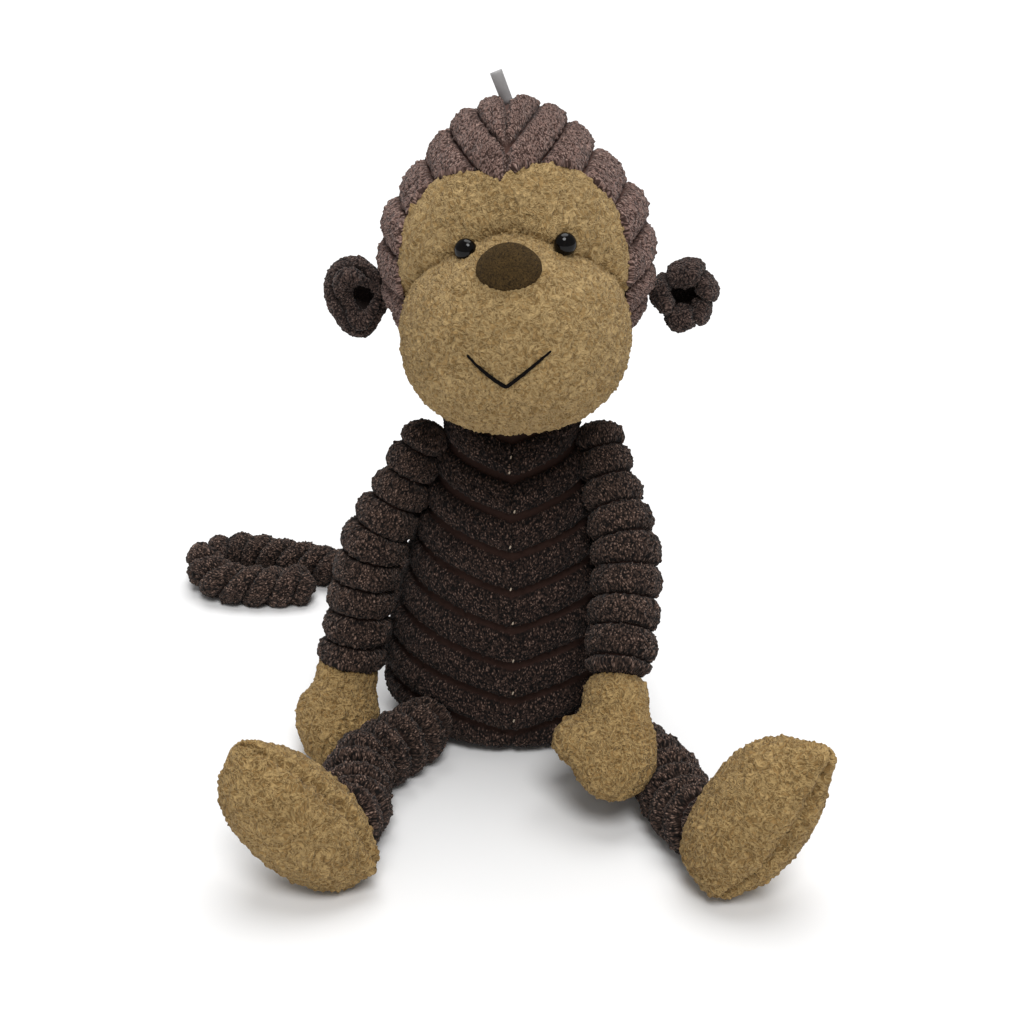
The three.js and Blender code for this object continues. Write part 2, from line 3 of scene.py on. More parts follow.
import bpy
import numpy as np
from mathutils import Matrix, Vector


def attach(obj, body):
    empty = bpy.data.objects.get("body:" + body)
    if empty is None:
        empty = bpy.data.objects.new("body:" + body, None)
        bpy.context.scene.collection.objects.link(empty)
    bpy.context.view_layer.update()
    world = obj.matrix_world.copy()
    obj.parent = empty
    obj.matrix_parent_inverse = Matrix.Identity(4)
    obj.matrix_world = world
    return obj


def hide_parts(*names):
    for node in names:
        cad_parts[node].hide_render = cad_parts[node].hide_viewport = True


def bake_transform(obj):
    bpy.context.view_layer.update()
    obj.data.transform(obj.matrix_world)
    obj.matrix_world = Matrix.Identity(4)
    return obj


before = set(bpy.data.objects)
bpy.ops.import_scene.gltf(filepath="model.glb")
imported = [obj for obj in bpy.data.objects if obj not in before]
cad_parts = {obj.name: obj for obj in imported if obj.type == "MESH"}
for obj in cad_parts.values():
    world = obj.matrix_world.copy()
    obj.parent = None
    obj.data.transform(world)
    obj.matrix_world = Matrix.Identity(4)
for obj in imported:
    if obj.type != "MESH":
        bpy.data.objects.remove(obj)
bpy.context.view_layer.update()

MM = 0.001

# ---------------------------------------------------------------- camera
CAMERA_AIM = Vector((0.0, 0.0, 0.092))
CAMERA_REACH = 0.650
CAMERA_RISE = math.radians(26)

camera_data = bpy.data.cameras.new("camera")
camera_data.lens = 57
camera_data.sensor_width = 36
camera = bpy.data.objects.new("camera", camera_data)
bpy.context.scene.collection.objects.link(camera)
towards_camera = Vector((0.0, -math.cos(CAMERA_RISE), math.sin(CAMERA_RISE)))
camera.location = CAMERA_AIM + towards_camera * CAMERA_REACH
camera.rotation_euler = (-towards_camera).to_track_quat("-Z", "Y").to_euler()
bpy.context.scene.camera = camera

# ---------------------------------------------------------------- the plush's sizes
TORSO_HEIGHT = 144.0
TORSO_LEAN = 11.0                # how far back the torso's top lies from its seat
TORSO_SECTIONS = (          # half width, half depth, height
    (43.0, 34.0, 0.0),
    (51.0, 37.0, 0.13 * TORSO_HEIGHT),
    (40.0, 32.0, 0.50 * TORSO_HEIGHT),
    (28.0, 23.0, 0.82 * TORSO_HEIGHT),
    (18.0, 14.0, 0.965 * TORSO_HEIGHT),
    (7.2, 5.6, TORSO_HEIGHT),
)
NECK_PIVOT = np.array((0.5, TORSO_LEAN, TORSO_HEIGHT + 3.5))

HEAD_PLACE = NECK_PIVOT + np.array((1.5, -4.0, 46.0))
HEAD_WIDTH, HEAD_DEPTH, CROWN, JAW = 104.0, 98.0, 61.0, 46.0
HEAD_RADIUS = HEAD_WIDTH / 2
MUZZLE_CENTRE = np.array((0.0, -30.0, -21.5))
MUZZLE_RADII = np.array((44.0, 37.0, 35.5))

ARM_THICKNESS, ARM_ROOT, ARM_TAPER, ARM_LENGTH = 24.0, 7.5, 50.0, 90.0
WRIST = 7.5
HAND_LENGTH, HAND_WIDTH, HAND_THICKNESS = 43.0, 33.0, 21.0
THUMB_LENGTH, THUMB_WIDTH = 19.0, 17.0
LEG_THICKNESS, LEG_ROOT, LEG_LENGTH = 25.0, 10.0, 66.0
ANKLE = 7.0
FOOT_LENGTH, FOOT_WIDTH, FOOT_THICKNESS = 70.0, 41.0, 34.0
TAIL_THICKNESS, TAIL_ROOT = 16.0, 7.0
GAP = 0.4                        # air between parts that are jointed
TUBE_END = 6.0
GROUND = 0.15                    # the lowest that any cloth lies


# ---------------------------------------------------------------- small maths
def vec(*numbers):
    return np.array(numbers, float)


def unit(v):
    return v / np.maximum(np.linalg.norm(v, axis=-1, keepdims=True), 1e-12)


def smooth(x):
    x = np.clip(x, 0, 1)
    return x * x * (3 - 2 * x)


def ring(count):
    """Angles evenly round a full turn."""
    return np.arange(count) / count * 2 * math.pi


def ball(rows, count, end=0.03):
    """Rings of points on a unit ball, from near its top to near its bottom."""
    a = np.linspace(end, math.pi - end, rows)[:, None]
    around = ring(count)
    return np.stack([np.sin(a) * np.cos(around), np.sin(a) * np.sin(around), np.cos(a) + 0 * around], -1)


def turn_about(axis, degrees):
    a = math.radians(degrees)
    c, s = math.cos(a), math.sin(a)
    i, j = {"x": (1, 2), "y": (2, 0), "z": (0, 1)}[axis]
    m = np.eye(3)
    m[i, i] = m[j, j] = c
    m[i, j], m[j, i] = -s, s
    return m


HEAD_TURN = turn_about("y", -3.5) @ turn_about("x", -8) @ turn_about("z", -2)


def on_head(points):
    """Points of the head's own frame, in the frame that all the parts share."""
    return np.asarray(points) @ HEAD_TURN.T + HEAD_PLACE


def fine_line(points):
    """A centripetal Catmull-Rom line through points, as many short steps."""
    p = np.array(points, float)
    p = np.vstack([2 * p[0] - p[1], p, 2 * p[-1] - p[-2]])
    fine = []
    for a, b, c, d in zip(p, p[1:], p[2:], p[3:]):
        ab, bc, cd = (max(np.linalg.norm(y - x), 1e-6) ** 0.5 for x, y in ((a, b), (b, c), (c, d)))
        m1 = ((b - a) / ab - (c - a) / (ab + bc) + (c - b) / bc) * bc
        m2 = ((c - b) / bc - (d - b) / (bc + cd) + (d - c) / cd) * bc
        t = np.linspace(0, 1, 60, endpoint=False)[:, None]
        fine.append(
            (2 * t**3 - 3 * t**2 + 1) * b + (t**3 - 2 * t**2 + t) * m1
            + (-2 * t**3 + 3 * t**2) * c + (t**3 - t**2) * m2
        )
    return np.vstack([*fine, p[-2:-1]])


def soft_line(points, count):
    """The fine line through points sampled evenly along its length, and that length."""
    fine = fine_line(points)
    run = np.concatenate([[0], np.cumsum(np.linalg.norm(np.diff(fine, axis=0), axis=1))])
    at = np.linspace(0, run[-1], count)
    return np.stack([np.interp(at, run, fine[:, k]) for k in range(3)], 1), run[-1]


# ---------------------------------------------------------------- the nap of the cloth
def scattered(ix, iy, iz, seed):
    """Three random numbers for each whole-numbered place."""
    with np.errstate(over="ignore"):
        h = (ix.astype(np.uint32) * np.uint32(73856093)
             ^ iy.astype(np.uint32) * np.uint32(19349663)
             ^ iz.astype(np.uint32) * np.uint32(83492791)
             ^ np.uint32(seed * 2654435761 % 2**32))
        found = []
        for k in range(3):
            h = (h ^ (h >> np.uint32(13))) * np.uint32(1540483477 + 2 * k)
            h = h ^ (h >> np.uint32(15))
            found.append((h & np.uint32(65535)).astype(np.float32) / 65535)
    return found


NEIGHBOURS = [(i, j, k) for i in (-1, 0, 1) for j in (-1, 0, 1) for k in (-1, 0, 1)]


def tuft_field(points, size, seed):
    """For each point, how far inside its tuft it lies (0 at the edge), and two numbers and a lean
    that belong to that tuft."""
    p = np.asarray(points, np.float32) / size
    edge, pick, other, lean = [], [], [], []
    for part in np.array_split(p, max(1, len(p) // 60000)):
        base = np.floor(part).astype(np.int32)
        first = np.full(len(part), 9.0, np.float32)
        second = first.copy()
        r0, r1, r2 = (np.zeros(len(part), np.float32) for _ in range(3))
        for i, j, k in NEIGHBOURS:
            x, y, z = base[:, 0] + i, base[:, 1] + j, base[:, 2] + k
            a, b, c = scattered(x, y, z, seed)
            d = np.sqrt((x + a - part[:, 0]) ** 2 + (y + b - part[:, 1]) ** 2 + (z + c - part[:, 2]) ** 2)
            nearer = d < first
            second = np.where(nearer, first, np.minimum(second, d))
            first = np.where(nearer, d, first)
            r0, r1, r2 = np.where(nearer, a, r0), np.where(nearer, b, r1), np.where(nearer, c, r2)
        edge.append(second - first)
        pick.append((r0 * 7.13 + r1 * 3.7) % 1)
        other.append((r1 * 5.31 + r2 * 9.1) % 1)
        lean.append(np.stack([r0, r1, r2], 1) * 2 - 1)
    return np.concatenate(edge), np.concatenate(pick), np.concatenate(other), np.vstack(lean)


def wander(points, reach, scale):
    """A slow sideways drift that keeps rows of tufts from looking ruled."""
    p = np.asarray(points) / scale
    x, y, z = p[..., 0], p[..., 1], p[..., 2]
    return reach * np.stack([
        np.sin(y * 1.7 + 1.3 * np.sin(z * 1.1)) + 0.5 * np.sin(z * 3.1 + x),
        np.sin(z * 1.5 + 1.1 * np.sin(x * 1.3)) + 0.5 * np.sin(x * 2.9 + y),
        np.sin(x * 1.6 + 1.2 * np.sin(y * 1.2)) + 0.5 * np.sin(y * 3.3 + z),
    ], -1)


# ---------------------------------------------------------------- meshes from rings
def normals_of(rows):
    """Outward normals of a grid of rings that close on themselves."""
    along = np.gradient(rows, axis=0)
    around = np.roll(rows, -1, axis=1) - np.roll(rows, 1, axis=1)
    n = unit(np.cross(around, along))
    middle = rows.mean((0, 1))
    if ((rows - middle) * n).sum() < 0:
        n = -n
    return n


def skin(name, rows, closed=(True, True), marks=None):
    """A mesh over rings of points in millimetres, with a point at the middle of each closed end."""
    n, m = rows.shape[:2]
    rows = rows.copy()
    rows[..., 2] = np.maximum(rows[..., 2], GROUND)
    points = rows.reshape(-1, 3)
    i, j = np.meshgrid(np.arange(n - 1), np.arange(m), indexing="ij")
    i, j = i.ravel(), j.ravel()
    k = (j + 1) % m
    quads = np.stack([i * m + j, i * m + k, (i + 1) * m + k, (i + 1) * m + j], 1)
    step = np.linalg.norm(np.diff(rows, axis=0), axis=2).mean(1)
    v = np.concatenate([[0], np.cumsum(step)])
    v = 0.002 + 0.996 * v / v[-1]
    quad_uv = np.stack([
        np.stack([j / m, v[i]], 1), np.stack([(j + 1) / m, v[i]], 1),
        np.stack([(j + 1) / m, v[i + 1]], 1), np.stack([j / m, v[i + 1]], 1),
    ], 1)
    fans, fan_uv, poles = [], [], []
    around = np.arange(m)
    following = (around + 1) % m
    for end, row in ((0, 0), (1, n - 1)):
        if not closed[end]:
            continue
        pole = n * m + len(poles)
        poles.append(rows[row].mean(0))
        a, b = row * m + around, row * m + following
        order = (b, a) if end == 0 else (a, b)
        fans.append(np.stack([np.full(m, pole), *order], 1))
        edge_a = np.stack([around / m, np.full(m, v[row])], 1)
        edge_b = np.stack([(around + 1) / m, np.full(m, v[row])], 1)
        tip = np.stack([(around + 0.5) / m, np.full(m, float(end))], 1)
        edges = (edge_b, edge_a) if end == 0 else (edge_a, edge_b)
        fan_uv.append(np.stack([tip, *edges], 1))
    if poles:
        points = np.vstack([points, poles])
    corners = np.concatenate([quads.ravel()] + [f.ravel() for f in fans])
    sizes = np.concatenate([np.full(len(quads), 4)] + [np.full(len(f), 3) for f in fans])
    uv = np.vstack([quad_uv.reshape(-1, 2)] + [f.reshape(-1, 2) for f in fan_uv])

    # Faces turn outwards: the signed volume is positive.
    t0, t1, t2, t3 = (points[quads[:, c]] for c in range(4))
    volume = (t0 * np.cross(t1, t2)).sum() + (t0 * np.cross(t2, t3)).sum()
    starts = np.concatenate([[0], np.cumsum(sizes)[:-1]])
    if volume < 0:
        order = np.concatenate([
            (4 * np.arange(len(quads))[:, None] + np.array([0, 3, 2, 1])).ravel(),
            4 * len(quads) + (3 * np.arange(sum(map(len, fans)))[:, None] + np.array([0, 2, 1])).ravel(),
        ]).astype(int)
        corners, uv = corners[order], uv[order]
    mesh = bpy.data.meshes.new(name)
    mesh.vertices.add(len(points))
    mesh.vertices.foreach_set("co", (points * MM).astype(np.float32).ravel())
    mesh.loops.add(len(corners))
    mesh.loops.foreach_set("vertex_index", corners.astype(np.int32))
    mesh.polygons.add(len(sizes))
    mesh.polygons.foreach_set("loop_start", starts.astype(np.int32))
    mesh.update(calc_edges=True)
    mesh.uv_layers.new(name="OFBake").uv.foreach_set("vector", uv.astype(np.float32).ravel())
    mesh.polygons.foreach_set("use_smooth", np.ones(len(sizes), bool))
    for mark, values in (marks or {}).items():
        values = np.asarray(values, np.float32)
        wide = values.ndim == 3
        flat = values.reshape(n * m, -1)
        ends = [flat[r * m:(r + 1) * m].mean(0) for e, r in ((0, 0), (1, n - 1)) if closed[e]]
        flat = np.vstack([flat, *ends]) if ends else flat
        kept = mesh.attributes.new(mark, "FLOAT_VECTOR" if wide else "FLOAT", "POINT")
        kept.data.foreach_set("vector" if wide else "value", flat.astype(np.float32).ravel())
    mesh.validate()
    piece = bpy.data.objects.new(name, mesh)
    bpy.context.scene.collection.objects.link(piece)
    return piece


def hoops(line, across, up, radius, sides, flat=1.0):
    """Rings round each point of a line, of a radius for each, squashed by flat in the up direction."""
    around = ring(sides)
    return line[:, None] + (np.cos(around)[None, :, None] * across[:, None]
                            + flat * np.sin(around)[None, :, None] * up[:, None]) * radius[:, None, None]


def tube(name, line, radius, sides=12, flat=1.0):
    """A closed round bar along a line of points, domed at its ends."""
    tangent = unit(np.gradient(line, axis=0))
    across = unit(np.cross(vec(0.3, -1, 0.2), tangent))
    t = np.linspace(-1, 1, len(line))
    girth = radius * np.clip(1 - np.abs(t) ** 8, 0.02, 1) ** 0.5
    return skin(name, hoops(line, across, np.cross(tangent, across), girth, sides, flat))


def joined(name, pieces):
    """Several loose meshes as one piece."""
    for other in bpy.context.selected_objects:
        other.select_set(False)
    for piece in pieces:
        piece.select_set(True)
    bpy.context.view_layer.objects.active = pieces[0]
    bpy.ops.object.join()
    pieces[0].name = name
    return pieces[0]


def rib(phase, strip, fullness=0.6):
    """The height of a puffed rib across its width, from 0 on the bare strip between ribs to 1."""
    x = np.abs(2 * (phase - np.floor(phase)) - 1) / (1 - strip)
    return np.clip(1 - np.clip(x, 0, 1) ** 2.4, 0, 1) ** fullness


STRAND_LENGTH = 1.35             # of a nap strand across its rib, in widths


def cord_cloth(name, rows, phase, pitch, puff, strip, along, nap=0.85, tuft=1.6, seed=1, fade=None, **ends):
    """Ribbed cord plush over rings of points: puffed ribs of short loops, with bare cloth between them.
    along is how far round its rib each point lies; None lets the strands lie every way."""
    height = rib(phase, strip)
    if fade is not None:
        height = height * fade
    at = rows
    n = normals_of(rows)
    rows = rows + n * (puff * (height - 0.55))[..., None]
    n = normals_of(rows)
    flat = rows.reshape(-1, 3)
    edge, pick, other, lean = tuft_field(flat + wander(flat, 0.25, 4.0), tuft, seed)
    dome = np.sqrt(np.clip(edge / 0.42, 0, 1))
    loop = (dome * (0.45 + 0.85 * pick)).reshape(height.shape)
    bare = smooth(np.clip(height, 0, 1) / 0.32)
    push = (nap * loop * (0.12 + 0.88 * bare))[..., None]
    rows = rows + n * push + lean.reshape(rows.shape) * push * 0.38
    if along is None:
        lay = at
    else:
        lay = np.stack(np.broadcast_arrays(along, phase * pitch / STRAND_LENGTH, 0.0), -1)
    # Less light reaches the loops on a rib's flanks, so the loop mark is lowered there: the nap paints shade
    # on the flanks and lowers their relief.
    loop = loop * (0.2 + 0.8 * smooth((np.clip(height, 0, 1) - 0.15) / 0.75))
    marks = {"rib": bare, "loop": loop, "cloth_at": at, "lay": lay, "pick": other.reshape(height.shape)}
    return skin(name, rows, marks=marks, **ends)


def pile_cloth(name, rows, nap=1.0, tuft=1.7, seed=1, seam=None, lay=(1.0, 1.0, 0.55), **ends):
    """Short curly pile over rings of points. Its curls lie in wandering rows."""
    at = rows
    n = normals_of(rows)
    flat = rows.reshape(-1, 3)
    drift = flat + wander(flat, 0.9, 5.0) + wander(flat + 31, 0.35, 1.9)
    edge, pick, other, lean = tuft_field(drift * np.array(lay), tuft, seed)
    dome = np.sqrt(np.clip(edge / 0.5, 0, 1)).reshape(rows.shape[:2])
    curl = dome * (0.5 + 0.75 * pick.reshape(dome.shape))
    push = nap * curl
    if seam is not None:
        push = push - 1.5 * seam
        # A seam's dip also lowers the loop mark of its curls, which paints shade into it.
        curl = curl * np.clip(1 - 0.6 * seam, 0, 1)
    rows = rows + n * push[..., None] + lean.reshape(rows.shape) * (push * 0.3)[..., None]
    marks = {"loop": curl, "cloth_at": at, "pick": other.reshape(dome.shape)}
    return skin(name, rows, marks=marks, **ends)


# ---------------------------------------------------------------- finishes
def node(tree, kind, inputs=(), **settings):
    made = tree.nodes.new(kind)
    for key, value in settings.items():
        setattr(made, key, value)
    for key, value in dict(inputs).items():
        socket = made.inputs[key]
        if isinstance(value, bpy.types.NodeSocket):
            tree.links.new(value, socket)
        else:
            socket.default_value = value
    return made


def sums(tree, operation, *values, clamp=False):
    made = node(tree, "ShaderNodeMath", dict(enumerate(values)), operation=operation, use_clamp=clamp)
    return made.outputs[0]


def mixed(tree, share, a, b, blend="MIX"):
    made = node(tree, "ShaderNodeMix", {0: share, 6: a, 7: b}, data_type="RGBA", blend_type=blend)
    return made.outputs[2]


def stepped(tree, value, low, high):
    made = node(tree, "ShaderNodeMapRange", {"Value": value, "From Min": low, "From Max": high},
                interpolation_type="SMOOTHSTEP")
    return made.outputs[0]


def linear(red, green, blue):
    """A linear colour from an 0-255 screen one."""
    def one(c):
        c /= 255
        return c / 12.92 if c <= 0.04045 else ((c + 0.055) / 1.055) ** 2.4
    return (one(red), one(green), one(blue), 1.0)


def new_group(name, inputs, outputs):
    group = bpy.data.node_groups.new(name, "ShaderNodeTree")
    for label, kind, value in inputs:
        socket = group.interface.new_socket(label, in_out="INPUT", socket_type=kind)
        if value is not None:
            socket.default_value = value
    for label, kind in outputs:
        group.interface.new_socket(label, in_out="OUTPUT", socket_type=kind)
    return group, group.nodes.new("NodeGroupInput").outputs, group.nodes.new("NodeGroupOutput").inputs


FLOAT, COLOUR, VECTOR = "NodeSocketFloat", "NodeSocketColor", "NodeSocketVector"


def toned(t, given, colour, patches, of_tuft, of_patch):
    """A colour made a little lighter or darker from tuft to tuft, and over broad patches."""
    patch = node(t, "ShaderNodeTexNoise", {"Vector": given["At"], "Scale": patches, "Detail": 2.0})
    tone = sums(t, "MULTIPLY_ADD", given["Pick"], of_tuft, 1 - of_tuft / 2)
    broad = sums(t, "MULTIPLY_ADD", patch.outputs["Fac"], of_patch, 1 - of_patch / 2)
    tone = sums(t, "MULTIPLY", tone, broad)
    shade = node(t, "ShaderNodeCombineXYZ", {"X": tone, "Y": tone, "Z": tone}).outputs[0]
    return mixed(t, 1.0, colour, shade, "MULTIPLY")


def make_nap_group():
    """Looped nap: short strands across each rib, with a painted highlight at their tips and painted shade
    between them and over the low loops, over bare cloth.
    """
    t, given, out = new_group(
        "looped nap",
        [("At", VECTOR, None), ("Lay", VECTOR, None), ("Loop", FLOAT, 0.5), ("Rib", FLOAT, 1.0),
         ("Pick", FLOAT, 0.5), ("Cloth", COLOUR, None), ("Deep", COLOUR, None), ("Tip", COLOUR, None),
         ("Bare", COLOUR, None), ("Strand", FLOAT, 0.95)],
        [("Colour", COLOUR), ("Height", FLOAT)],
    )
    drift = node(t, "ShaderNodeTexNoise", {"Vector": given["At"], "Scale": 0.55, "Detail": 1.0})
    drift = node(t, "ShaderNodeVectorMath", {0: drift.outputs["Color"], 1: (1.1, 1.1, 1.1)},
                 operation="MULTIPLY")
    laid = node(t, "ShaderNodeVectorMath", {0: given["Lay"], 1: drift.outputs[0]}, operation="ADD")
    scale = sums(t, "DIVIDE", 1.0, given["Strand"])
    strand = node(t, "ShaderNodeTexVoronoi", {"Vector": laid.outputs[0], "Scale": scale})
    inside = sums(t, "SUBTRACT", 1.0, strand.outputs["Distance"])
    chance = node(t, "ShaderNodeSeparateColor", {"Color": strand.outputs["Color"]}).outputs[0]
    # Painted shade between the strands and over the loops that lie low.
    gap_with_painted_shade = sums(t, "SUBTRACT", 1.0, stepped(t, inside, 0.3, 0.56))
    painted_recess_shade = sums(t, "SUBTRACT", 1.0, stepped(t, given["Loop"], 0.02, 0.55))
    deep = sums(t, "MAXIMUM", gap_with_painted_shade, sums(t, "MULTIPLY", painted_recess_shade, 0.8))
    colour = mixed(t, deep, given["Cloth"], given["Deep"])
    # Painted highlight: the tip colour on the middles of the strands.
    lit = sums(t, "MULTIPLY", stepped(t, inside, 0.52, 0.88), stepped(t, chance, 0.15, 0.9))
    colour = mixed(t, lit, colour, given["Tip"])
    colour = toned(t, given, colour, 0.07, 0.3, 0.36)
    strip = sums(t, "SUBTRACT", 1.0, given["Rib"], clamp=True)
    t.links.new(mixed(t, strip, colour, given["Bare"]), out["Colour"])
    raised = sums(t, "MULTIPLY", stepped(t, inside, 0.25, 0.95), given["Rib"])
    t.links.new(sums(t, "MULTIPLY_ADD", given["Loop"], 0.3, raised), out["Height"])
    return t


def make_curl_group():
    """Curly pile: wavy strands with a painted highlight where they catch the light, and painted shade in gaps
    that wander between them.
    """
    t, given, out = new_group(
        "curly pile",
        [("At", VECTOR, None), ("Loop", FLOAT, 0.5), ("Pick", FLOAT, 0.5), ("Cloth", COLOUR, None),
         ("Deep", COLOUR, None), ("Tip", COLOUR, None), ("Curl", FLOAT, 2.2)],
        [("Colour", COLOUR), ("Height", FLOAT)],
    )
    scale = sums(t, "DIVIDE", 1.0, given["Curl"])

    def curls(offset, twist, width):
        place = node(t, "ShaderNodeVectorMath", {0: given["At"], 1: offset}, operation="ADD").outputs[0]
        noise = node(t, "ShaderNodeTexNoise", {
            "Vector": place, "Scale": scale, "Detail": 2.0, "Roughness": 0.6, "Distortion": twist})
        off = sums(t, "ABSOLUTE", sums(t, "SUBTRACT", noise.outputs["Fac"], 0.5))
        return sums(t, "SUBTRACT", 1.0, stepped(t, off, 0.0, width))

    light = sums(t, "MAXIMUM", curls((0, 0, 0), 1.2, 0.075), curls((37, 11, 5), 1.5, 0.06))
    # Painted shade in the gaps between curls and over the curls that lie low; the gaps also dip in the
    # relief.
    gap_with_painted_shade = curls((9, 53, 21), 1.3, 0.06)
    painted_recess_shade = sums(t, "SUBTRACT", 1.0, stepped(t, given["Loop"], 0.05, 0.6))
    deep = sums(t, "MAXIMUM", sums(t, "MULTIPLY", gap_with_painted_shade, 0.75), sums(t, "MULTIPLY", painted_recess_shade, 0.5))
    deep = sums(t, "MULTIPLY", deep, sums(t, "MULTIPLY_ADD", light, -0.75, 1.0))
    colour = mixed(t, deep, given["Cloth"], given["Deep"])
    # Painted highlight: the tip colour on the curls.
    colour = mixed(t, sums(t, "MULTIPLY", light, 0.7), colour, given["Tip"])
    t.links.new(toned(t, given, colour, 0.06, 0.14, 0.26), out["Colour"])
    rise = sums(t, "SUBTRACT", light, sums(t, "MULTIPLY", gap_with_painted_shade, 0.8))
    t.links.new(sums(t, "MULTIPLY_ADD", given["Loop"], 0.4, rise), out["Height"])
    return t


NAP = make_nap_group()
CURL = make_curl_group()


def new_material(name, rough, specular=0.5):
    material = bpy.data.materials.new(name)
    material.use_nodes = True
    shader = material.node_tree.nodes["Principled BSDF"]
    shader.inputs["Roughness"].default_value = rough
    shader.inputs["Specular IOR Level"].default_value = specular
    return material, material.node_tree, shader


def surfaced(t, shader, colour, height, bump, depth):
    """Give a shader its colour, and a relief of a strength and a depth in metres."""
    t.links.new(colour, shader.inputs["Base Color"])
    relief = node(t, "ShaderNodeBump", {"Height": height, "Strength": bump, "Distance": depth})
    t.links.new(relief.outputs[0], shader.inputs["Normal"])


def plush_material(name, group, marks, sheen, bump=0.7, **looks):
    """A cloth whose group reads the marks that its meshes carry; looks are the group's own values."""
    material, t, shader = new_material(name, 0.9, 0.2)
    nap = node(t, "ShaderNodeGroup", node_tree=group)
    for label, mark in marks.items():
        read = node(t, "ShaderNodeAttribute", attribute_name=mark)
        t.links.new(read.outputs["Vector" if label in ("At", "Lay") else "Fac"], nap.inputs[label])
    for label, value in looks.items():
        nap.inputs[label.capitalize()].default_value = value
    surfaced(t, shader, nap.outputs["Colour"], nap.outputs["Height"], bump, 0.0007)
    shader.inputs["Sheen Weight"].default_value = sheen
    shader.inputs["Sheen Roughness"].default_value = 0.45
    return material


PILE_MARKS = {"At": "cloth_at", "Loop": "loop", "Pick": "pick"}
CORD_MARKS = {**PILE_MARKS, "Lay": "lay", "Rib": "rib"}

# One cord cloth in lit and shaded copies: the hood is painted lighter as lit from above, and the ears, torso,
# neck and limbs darker as in shade. Each tip colour is a painted highlight and each darkest colour is painted
# shade between the strands.
lit_hood_plush = plush_material(
    "hood cord plush painted lit", NAP, CORD_MARKS, 0.1, cloth=linear(132, 105, 96), deep=linear(56, 40, 35),
    tip=linear(172, 146, 135), bare=linear(84, 60, 53), strand=0.62)
shaded_ear_plush = plush_material(
    "ear cord plush painted shaded", NAP, CORD_MARKS, 0.1, cloth=linear(76, 60, 54), deep=linear(22, 15, 13),
    tip=linear(126, 104, 95), bare=linear(34, 25, 22), strand=0.62)
shaded_body_plush = plush_material(
    "body cord plush painted shaded", NAP, CORD_MARKS, 0.04, cloth=linear(52, 38, 32), deep=linear(10, 6, 5),
    tip=linear(126, 102, 91), bare=linear(46, 29, 23), strand=0.66)
shaded_limb_plush = plush_material(
    "limb cord plush painted shaded", NAP, CORD_MARKS, 0.06, cloth=linear(68, 52, 44), deep=linear(14, 9, 7),
    tip=linear(146, 120, 107), bare=linear(48, 31, 25), strand=0.66)
# The tan plushes and the nose suede also carry a painted highlight in their tip colour and painted shade in
# their darkest colour.
tan_plush = plush_material(
    "tan curly plush", CURL, PILE_MARKS, 0.05, cloth=linear(154, 126, 82), deep=linear(116, 91, 54),
    tip=linear(188, 161, 114), curl=4.6)
paw_plush = plush_material(
    "tan curly paw plush", CURL, PILE_MARKS, 0.05, cloth=linear(145, 116, 72), deep=linear(102, 78, 43),
    tip=linear(182, 154, 105), curl=4.6)
nose_suede = plush_material(
    "nose suede", CURL, PILE_MARKS, 0.0, 0.6, cloth=linear(54, 40, 18), deep=linear(18, 12, 4),
    tip=linear(98, 76, 42), curl=1.5)


def speckled(name, colour, other, scale, rough, bump, specular=0.5):
    """A finish of two close tones with a fine surface grain."""
    material, t, shader = new_material(name, rough, specular)
    place = node(t, "ShaderNodeTexCoord").outputs["Object"]
    grain = node(t, "ShaderNodeTexNoise", {"Vector": place, "Scale": scale, "Detail": 4.0}).outputs["Fac"]
    surfaced(t, shader, mixed(t, stepped(t, grain, 0.35, 0.68), colour, other), grain, bump, 0.0004)
    return material


eye_gloss = speckled("eye gloss", linear(5, 4, 4), linear(12, 8, 6), 900.0, 0.05, 0.0, 0.22)
washer_plastic = speckled("washer plastic", linear(214, 210, 200), linear(204, 199, 188), 700.0, 0.5, 0.1)
black_thread = speckled("black thread", linear(6, 5, 5), linear(20, 16, 15), 5200.0, 0.9, 0.6, 0.08)
pale_thread = speckled("pale seam thread", linear(206, 190, 170), linear(160, 142, 122), 5200.0, 0.7, 0.6)


def ribbon_material():
    material, t, shader = new_material("grey ribbon", 0.7, 0.3)
    uv = node(t, "ShaderNodeTexCoord").outputs["UV"]
    place = node(t, "ShaderNodeMapping", {"Vector": uv, "Scale": (60.0, 20.0, 1.0)}).outputs[0]
    weave = node(t, "ShaderNodeTexWave", {"Vector": place, "Scale": 1.0, "Distortion": 0.3}).outputs["Fac"]
    colour = mixed(t, weave, linear(186, 184, 184), linear(160, 158, 158))
    surfaced(t, shader, colour, weave, 0.4, 0.0002)
    return material


grey_ribbon = ribbon_material()


def finished(piece, material, body, replaced=()):
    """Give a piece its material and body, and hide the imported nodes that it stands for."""
    piece.data.materials.append(material)
    if body is not None:
        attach(piece, body)
    if replaced:
        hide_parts(*replaced)
    return piece


